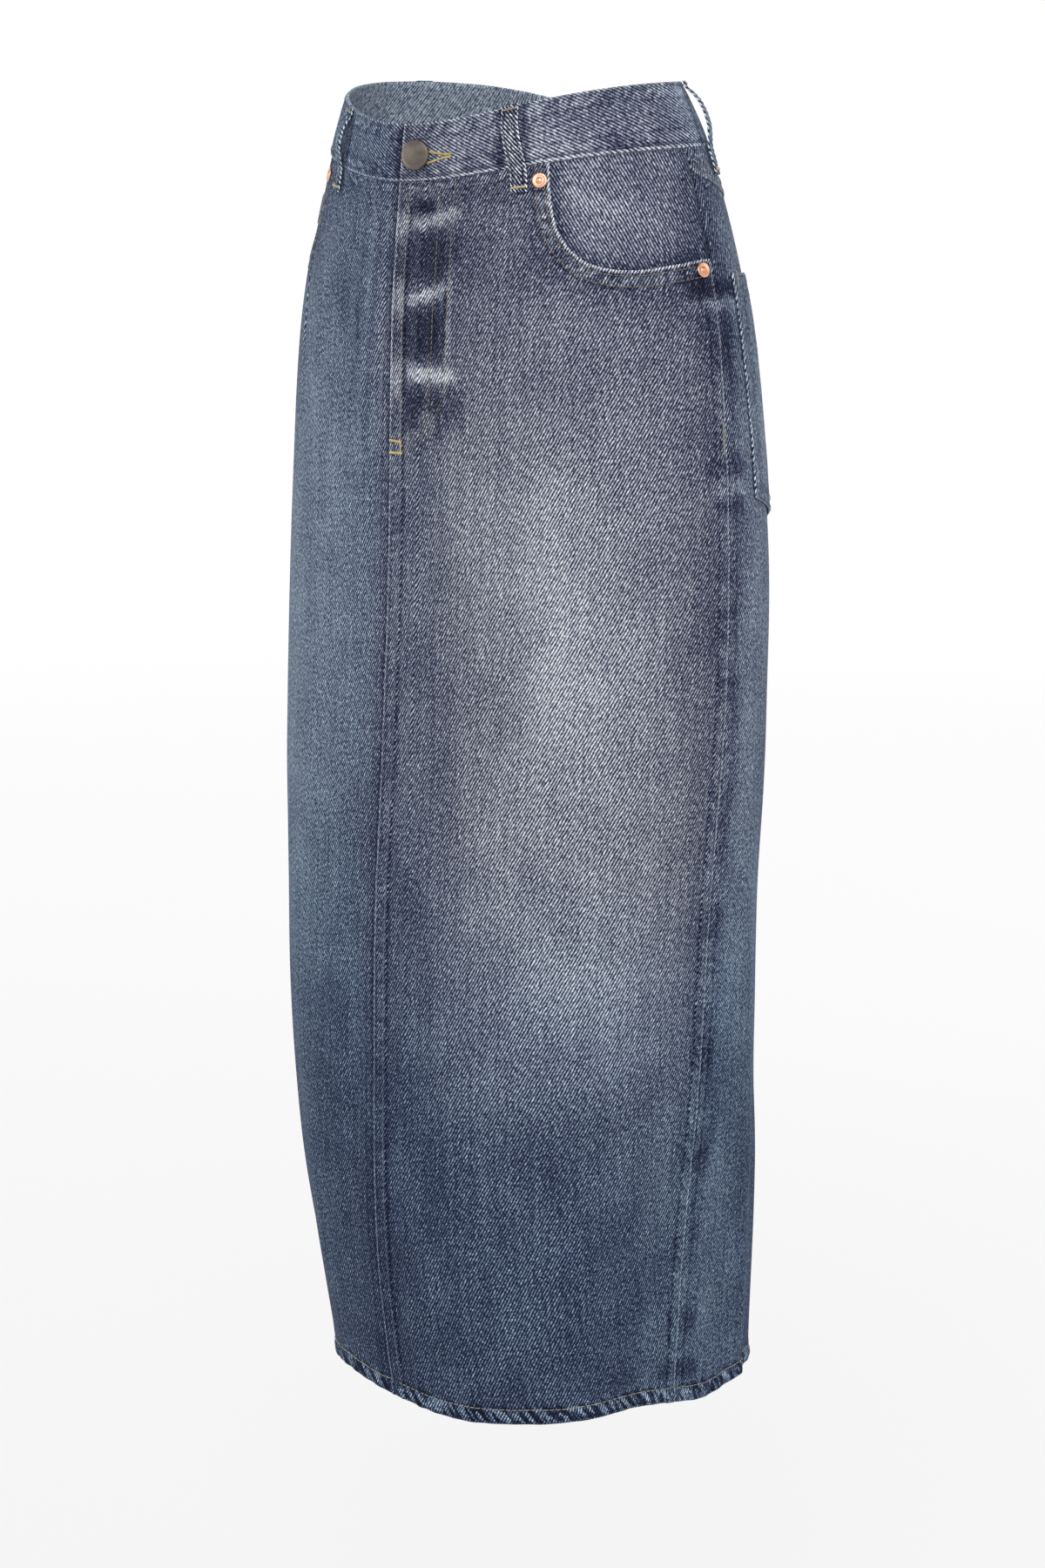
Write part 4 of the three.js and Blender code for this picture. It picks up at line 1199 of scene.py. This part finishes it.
for side in (1, -1):
    for off in (3.4, 9.6):
        angle, drop = offset_path(SCOOP_PATH, off)
        keep = (drop > 39.5) & (angle < 89.6)
        sew("gold", side * angle[keep], drop[keep], CLOTH + 0.05, stitch=2.7, radius=0.24)
    down = line(102, 853)
    sew("slate", side * (90 - degrees_for(2.0, 90.0, down)), down, CLOTH + FELL + 0.05)
    yoke_line = line(90.6, 179.4)
    for above in (1.8, 6.9):
        sew("tan", side * yoke_line, yoke_seam(yoke_line) - above, CLOTH + FELL + 0.05)
    back_down = line(109, 853)
    gap = slit_gap(back_down)
    for inside_edge in (1.8, 6.8):
        sew(
            "slate", side * (180 - degrees_for(gap + inside_edge, 179.0, back_down)), back_down,
            CLOTH + FELL + 0.05
        )
    share = line(0, 1, 60)
    for off in (1.8, 8.0):
        side_drop = POCKET_DROP + share * (POCKET_TALL - off)
        front_edge = off + POCKET_TAPER * share * (1 - off / 80)
        for across in (front_edge, POCKET_WIDE - off - POCKET_TAPER * share):
            tilt = POCKET_TILT * across / POCKET_WIDE
            sew("slate", side * on_pocket(across, side_drop), side_drop + tilt * (1 - share), POCKET_OUT)
        foot = line(0.05 * off / 8, 1 - 0.05 * off / 8, 80)
        point = POCKET_POINT * (1 - np.abs(2 * foot - 1))
        foot_drop = POCKET_DROP + POCKET_TALL + point - off * 1.02
        across = POCKET_TAPER + (POCKET_WIDE - 2 * POCKET_TAPER) * foot
        sew("slate", side * on_pocket(across, foot_drop), foot_drop, POCKET_OUT)
    top = line(0.02, 0.98, 80)
    for off in (1.8, 13.0):
        top_drop = POCKET_DROP + POCKET_TILT * top + off
        sew("slate", side * on_pocket(POCKET_WIDE * top, top_drop), top_drop, POCKET_OUT)

cf_down = line(224, 853)
for off in (1.9, 10.3):
    sew("slate", degrees_for(off, 0.0, cf_down), cf_down, CLOTH + FELL + 0.05)
fly_down = line(39.5, 214)
sew("tan", degrees_for(10.6, 0.0, fly_down), fly_down, CLOTH + FELL + 0.02, radius=0.22)
sew("slate", degrees_for(1.6, 0.0, fly_down), fly_down, CLOTH + FELL + 0.02, radius=0.22)
for points in (J_INNER, J_OUTER):
    sew("gold", *from_front(points), CLOTH + 0.05, stitch=2.5, radius=0.21)
hem_run = line(-176.6, 176.6, 1400)
sew(
    "beige", hem_run, LENGTH - HEM + 0.25 * uneven(hem_run * 2.4, 0.0, 9), CLOTH + 0.1, stitch=3.4,
    radius=0.3
)
around = line(0.9, 351, 900)
for row in (2.6, 35.4):
    sew("slate", around, row + 0 * around, 2.3, radius=0.24)
print("stitches:", {colour: sum(len(part) for part in parts) for colour, parts in THREADS.items()})

# %% [markdown]
# Bar tacks are dense zigzags at the loops' ends, the fly's foot, the pocket corners, the side seams and the
# top of the slit, and the buttonhole is a keyhole of thread round a slit, left gaping by the button.

# %% Bar tacks and buttonhole
def on_front(distance, drop):
    return float(degrees_for(distance, 0.0, drop))


bar_tack("yellow", on_front(6.0, 213.0), 213.0, 2.5, 11, 1.7, lean=4)
bar_tack("yellow", on_front(6.5, 220.5), 220.5, 2.5, 12, 1.7, lean=-2)
bar_tack("yellow", on_front(10.8, 216.8), 216.8, 2.45, 6.5, 1.5, lean=90)
for side in (1, -1):
    bar_tack("tan", side * 89.2, 206.0, 2.5, 20, 1.3, lean=90)
    for share in (0.03, 0.97):
        at = float(on_pocket(share * POCKET_WIDE, POCKET_DROP + 6.0))
        bar_tack(
            "beige", side * at, POCKET_DROP + 3.0 + POCKET_TILT * share, POCKET_OUT + 0.2, 8, 1.8, lean=90
        )
bar_tack("slate", 179.2, 549.0, 2.5, 9, 1.7)
for name in LOOPS:
    for drop, colour in ((2.6, "tan"), (51.4, "yellow")):
        centre, out = loop_place(name, np.array([0.0]), np.array([drop]))
        bar_tack(colour, float(centre[0]), drop, float(out[0]) + 1.95, 9.6, 1.3)
    rows = line(6.5, 48.6, 44)
    for across in (-3.9, 3.9):
        angle, out = loop_place(name, across, rows)
        sew("slate", angle, rows, out + 1.72, stitch=2.6, radius=0.2)

HOLE_DROP = 22.6
for leg in (-1, 1):
    run = np.arange(19, 39.6, 0.46)
    gape = 2.7 * (1 - ease(22, 38.5, run)) + 0.3
    middle = HOLE_DROP + leg * gape + 0.35 * (run - 19) / 10
    a0, a1 = degrees_for(run, 0.0, middle), degrees_for(run + 0.15, 0.0, middle)
    d0, d1 = middle - leg * 0.15, middle + leg * (1.45 + 0.15 * np.sin(run * 5))
    thread_between("mustard", place(a0, d0, 2.62), place(a1, d1, 2.62), outward(a0, d0), 0.27)
turn = np.radians(np.arange(-80, 81, 16))
a0, a1 = (degrees_for(39.2 + r * np.cos(turn), 0.0, HOLE_DROP) for r in (0.3, 1.9))
d0, d1 = (HOLE_DROP + 0.8 + r * np.sin(turn) for r in (0.3, 1.9))
thread_between("mustard", place(a0, d0, 2.62), place(a1, d1, 2.62), outward(a0, d0), 0.27)
print("yellow threads:", sum(len(part) for part in THREADS["yellow"]))

# %% [markdown]
# ## Thread material
# Cotton thread is twisted, so each stitch has a fine slanting ply, and colour wears off it unevenly. Noise
# at the size of a stitch shades them one from another, and another, finer, stands for the ply.

# %% Thread meshes
thread_look, given, out = group(
    "Thread wear", [("Colour", "Color", (0.5, 0.4, 0.2, 1)), ("Worn", "Color", (0.7, 0.7, 0.7, 1))],
    [("Shade", "Color"), ("Height", "Float")]
)
where = add(thread_look, "ShaderNodeTexCoord").outputs["Object"]
patchy = add(thread_look, "ShaderNodeTexNoise", {"Vector": where, "Scale": 210.0, "Detail": 2.0}).outputs[0]
ply = add(thread_look, "ShaderNodeTexNoise", {"Vector": where, "Scale": 2600.0, "Detail": 1.0}).outputs[0]
blend = add(
    thread_look, "ShaderNodeMix", {"Factor": spread(thread_look, patchy, 0.4, 0.66, 0.0, 0.75)},
    data_type="RGBA"
)
thread_look.links.new(given["Colour"], blend.inputs[6])
thread_look.links.new(given["Worn"], blend.inputs[7])
thread_look.links.new(blend.outputs[2], out["Shade"])
thread_look.links.new(ply, out["Height"])
THREAD_COLOURS = {
    "gold": ((150, 128, 84), (150, 150, 150)), "tan": ((158, 144, 110), (160, 166, 172)),
    "slate": ((90, 102, 125), (128, 140, 157)),
    "beige": ((168, 160, 130), (182, 184, 178)), "yellow": ((206, 178, 104), (214, 204, 160)),
    "mustard": ((186, 158, 84), (206, 190, 140)),
}


def thread_material(colour):
    material, tree, shader = start_material(f"thread_{colour}")
    fresh, worn_colour = THREAD_COLOURS[colour]
    look = use(tree, thread_look, Colour=srgb(*fresh), Worn=srgb(*worn_colour))
    finish_surface(tree, shader, look["Shade"], look["Height"], 0.0001, 0.7, Roughness=0.7, Sheen_Weight=0.1)
    return material


def thread_mesh(colour, parts):
    points = np.concatenate(parts)
    count, size = points.shape[:2]
    around = [(k, (k + 1) % 5) for k in range(5)]
    tube = [[r + a, r + b, r + 5 + b, r + 5 + a] for r in (0, 5, 10, 15) for a, b in around]
    offsets = np.arange(count)[:, None, None] * size
    faces = (np.array(tube)[None] + offsets).reshape(-1, 4).tolist()
    for cap in ([4, 3, 2, 1, 0], [20, 21, 22, 23, 24]):
        faces += (np.array(cap)[None] + offsets[:, 0]).tolist()
    mesh = bpy.data.meshes.new(f"stitches_{colour}")
    mesh.from_pydata((points.reshape(-1, 3) * 0.001).tolist(), [], faces)
    work = bmesh.new()
    work.from_mesh(mesh)
    bmesh.ops.recalc_face_normals(work, faces=work.faces)
    work.to_mesh(mesh)
    work.free()
    mesh.polygons.foreach_set("use_smooth", np.ones(len(mesh.polygons), bool))
    mesh.materials.append(thread_material(colour))
    piece = put(f"stitches_{colour}", mesh)
    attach(piece, "root")
    print(piece.name, count, "stitches")
    return piece


for colour, parts in THREADS.items():
    thread_mesh(colour, parts)

# %% [markdown]
# ## Button and rivets
# The button is a plain, slightly domed disc with a rolled rim on a shank, in a dark antique finish. The
# rivets are copper cups with a small nipple. Both are turned shapes, so a profile is spun round an axis
# with bmesh, with enough rings for the rims to catch the light, and then set square to the cloth.

# %% Turned trims
def spun(profile, sides, merge):
    """A profile of (radius, height) in metres, spun round the vertical axis into a smooth bmesh."""
    work = bmesh.new()
    points = [work.verts.new((x, 0, y)) for x, y in profile]
    edges = [work.edges.new(pair) for pair in zip(points, points[1:])]
    bmesh.ops.spin(
        work, geom=points + edges, cent=(0, 0, 0), axis=(0, 0, 1), angle=2 * math.pi, steps=sides
    )
    bmesh.ops.remove_doubles(work, verts=work.verts, dist=merge)
    for face in work.faces:
        face.smooth = True
    return work


def turned_piece(name, profile, sides, angle, drop, out, material, node, hangs=0.0):
    mesh = bpy.data.meshes.new(name)
    work = spun([(x * 0.001, y * 0.001) for x, y in profile], sides, 1e-6)
    bmesh.ops.recalc_face_normals(work, faces=work.faces)
    up = Matrix.Rotation(math.radians(hangs), 3, "Z") @ Vector(outward(angle, drop).tolist())
    turn = up.to_track_quat("Z", "Y").to_matrix().to_4x4()
    centre = Vector(place(angle, drop, out).tolist()) * 0.001
    work.transform(Matrix.Translation(centre) @ turn)
    work.to_mesh(mesh)
    work.free()
    mesh.set_sharp_from_angle(angle=math.radians(50))
    mesh.materials.append(material)
    piece = put(name, mesh)
    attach(piece, "root")
    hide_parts(node)
    print(name, len(mesh.polygons), "faces")
    return piece


def metal(name, colour, dark, rough, scratch):
    material, tree, shader = start_material(name)
    where = add(tree, "ShaderNodeTexCoord").outputs["Object"]
    brushed = add(
        tree, "ShaderNodeMapping",
        {"Vector": where, "Scale": (900.0, 900.0, 5200.0), "Rotation": (0.0, 0.5, 0.0)}
    ).outputs[0]
    lines = add(tree, "ShaderNodeTexNoise", {"Vector": brushed, "Scale": 1.0, "Detail": 2.0}).outputs[0]
    cloudy = add(tree, "ShaderNodeTexNoise", {"Vector": where, "Scale": 120.0, "Detail": 3.0}).outputs[0]
    blend = add(
        tree, "ShaderNodeMix", {"Factor": spread(tree, cloudy, 0.35, 0.65, 0.0, 1.0)}, data_type="RGBA"
    )
    blend.inputs[6].default_value, blend.inputs[7].default_value = srgb(*dark), srgb(*colour)
    tree.links.new(spread(tree, lines, 0.3, 0.7, rough - 0.08, rough + 0.12), shader.inputs["Roughness"])
    finish_surface(tree, shader, blend.outputs[2], lines, 0.00004, scratch, Metallic=0.9)
    return material


pewter = metal("pewter", (116, 108, 101), (92, 85, 79), 0.40, 0.5)
copper = metal("copper", (240, 190, 160), (206, 142, 112), 0.30, 0.2)
BUTTON = [
    (0, 0), (4.2, 0), (4.3, 0.35), (3.0, 0.8), (2.6, 1.4), (2.7, 2.0), (6.0, 2.15), (8.6, 2.2), (9.2, 2.45),
    (9.5, 2.9), (9.45, 3.35), (9.15, 3.75), (8.7, 3.95), (8.25, 3.85), (7.9, 3.68), (6.5, 3.78),
    (4.5, 3.88), (2.2, 3.94), (0, 3.96),
]
RIVET = [
    (0, 0), (4.3, 0), (4.65, 0.15), (4.8, 0.42), (4.72, 0.72), (4.45, 0.95), (4.05, 1.0), (3.5, 0.92),
    (2.9, 0.78), (2.35, 0.74), (2.0, 0.9), (1.75, 1.25), (1.35, 1.5), (0.8, 1.64), (0, 1.7),
]
BUTTON_ACROSS, BUTTON_DROP, BUTTON_OUT, BUTTON_TURN = 15.5, 21.0, 3.9, 18.0
turned_piece(
    "button_metal", BUTTON, 72, on_front(BUTTON_ACROSS, BUTTON_DROP), BUTTON_DROP, BUTTON_OUT, pewter,
    "button", hangs=BUTTON_TURN
)
RIVETS = {"upper": (51.6, 48.5, CLOTH + 0.05), "lower": (87.4, 105.5, CLOTH + FELL + 0.05)}
for height, (angle, drop, out) in RIVETS.items():
    for side, word in SIDES:
        name = f"rivet_{height}_{word}"
        turned_piece(name + "_metal", RIVET, 40, side * angle, drop, out, copper, name)

# %% [markdown]
# ## Studio
# The photo was taken in front of white paper with broad, soft light. A real sweep would stand in the way
# when the object is seen from behind, so the paper here is a wide bowl: a pale floor that curves up all
# round. It stays out of the way of the soft light from the world, and large area lights add the direction.

# %% Paper, lights and camera
def paper():
    mesh = bpy.data.meshes.new("paper_floor")
    bend = [
        (7.0 + 2.5 * math.sin(t), -1.15 + 2.5 * (1 - math.cos(t))) for t in np.linspace(0, math.pi / 2, 14)
    ]
    profile = [(0.0, -1.15), (3.0, -1.15)] + bend + [(9.5, 7.0)]
    work = spun(profile, 96, 1e-5)
    work.to_mesh(mesh)
    work.free()
    material, tree, shader = start_material("paper")
    place_on_floor = add(tree, "ShaderNodeTexCoord").outputs["Object"]
    from_middle = add(
        tree, "ShaderNodeVectorMath", {"Vector": place_on_floor}, operation="LENGTH"
    ).outputs["Value"]
    # Painted light: the paper glows by emission, from 0.78 near the middle to 0.93 further out, standing in
    # for lamp light and its falloff round the skirt.
    tree.links.new(spread(tree, from_middle, 1.0, 7.0, 0.78, 0.93), shader.inputs["Emission Strength"])
    shader.inputs["Base Color"].default_value = (0.12, 0.12, 0.12, 1)
    shader.inputs["Roughness"].default_value = 0.95
    shader.inputs["Emission Color"].default_value = (1, 1, 1, 1)
    mesh.materials.append(material)
    floor = put("paper_floor", mesh)
    floor.visible_diffuse = False
    floor.visible_shadow = False
    return floor


def soft_light(name, azimuth, elevation, distance, size, watts, colour=(1, 1, 1)):
    data = bpy.data.lights.new(name, "AREA")
    data.shape, data.size, data.energy, data.color = "DISK", size, watts, colour
    lamp = put(name, data)
    a, e = math.radians(azimuth), math.radians(elevation)
    back = Vector((math.sin(a) * math.cos(e), -math.cos(a) * math.cos(e), math.sin(e)))
    lamp.location = Vector((0, 0, -0.4)) + back * distance
    lamp.rotation_euler = back.to_track_quat("Z", "Y").to_euler()
    lamp.visible_camera = False
    return lamp


paper()
soft_light("key_softbox", 40, 32, 3.2, 2.0, 46)
soft_light("fill_softbox", 95, 10, 3.4, 2.2, 14, (0.93, 0.96, 1.0))
soft_light("left_softbox", -35, 15, 3.4, 2.2, 12)
soft_light("back_softbox", 200, 30, 3.4, 2.2, 26)
world = bpy.data.worlds.new("white_room")
bpy.context.scene.world = world
world.use_nodes = True
world.node_tree.nodes["Background"].inputs["Color"].default_value = (0.97, 0.985, 1.0, 1)
world.node_tree.nodes["Background"].inputs["Strength"].default_value = 0.46
bpy.context.scene.view_settings.view_transform = "Standard"
bpy.context.scene.view_settings.look = "None"

AZIMUTH, DISTANCE, HEIGHT, PITCH, ROLL = 46.57, 2.4155, 0.0084, 10.816, 0.127
camera_data = bpy.data.cameras.new("photo_camera")
camera_data.sensor_width = 36.0
camera_data.lens = 36.0 * 4174 / 1800
camera_data.shift_x = -0.0024
camera_data.clip_start, camera_data.clip_end = 0.05, 60.0
camera = put("photo_camera", camera_data)
a, p = math.radians(AZIMUTH), math.radians(PITCH)
camera.location = (math.sin(a) * DISTANCE, -math.cos(a) * DISTANCE, HEIGHT)
looking = Vector((-math.sin(a) * math.cos(p), math.cos(a) * math.cos(p), -math.sin(p)))
camera.rotation_mode = "QUATERNION"
camera.rotation_quaternion = looking.to_track_quat("-Z", "Y") @ Matrix.Rotation(
    math.radians(ROLL), 4, "Z"
).to_quaternion()
bpy.context.scene.camera = camera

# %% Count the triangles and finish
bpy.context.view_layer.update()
shown = [o for o in bpy.context.scene.objects if o.type == "MESH" and not o.hide_render]
triangles = sum(len(p.vertices) - 2 for o in shown for p in o.data.polygons)
print("triangles shown:", triangles)
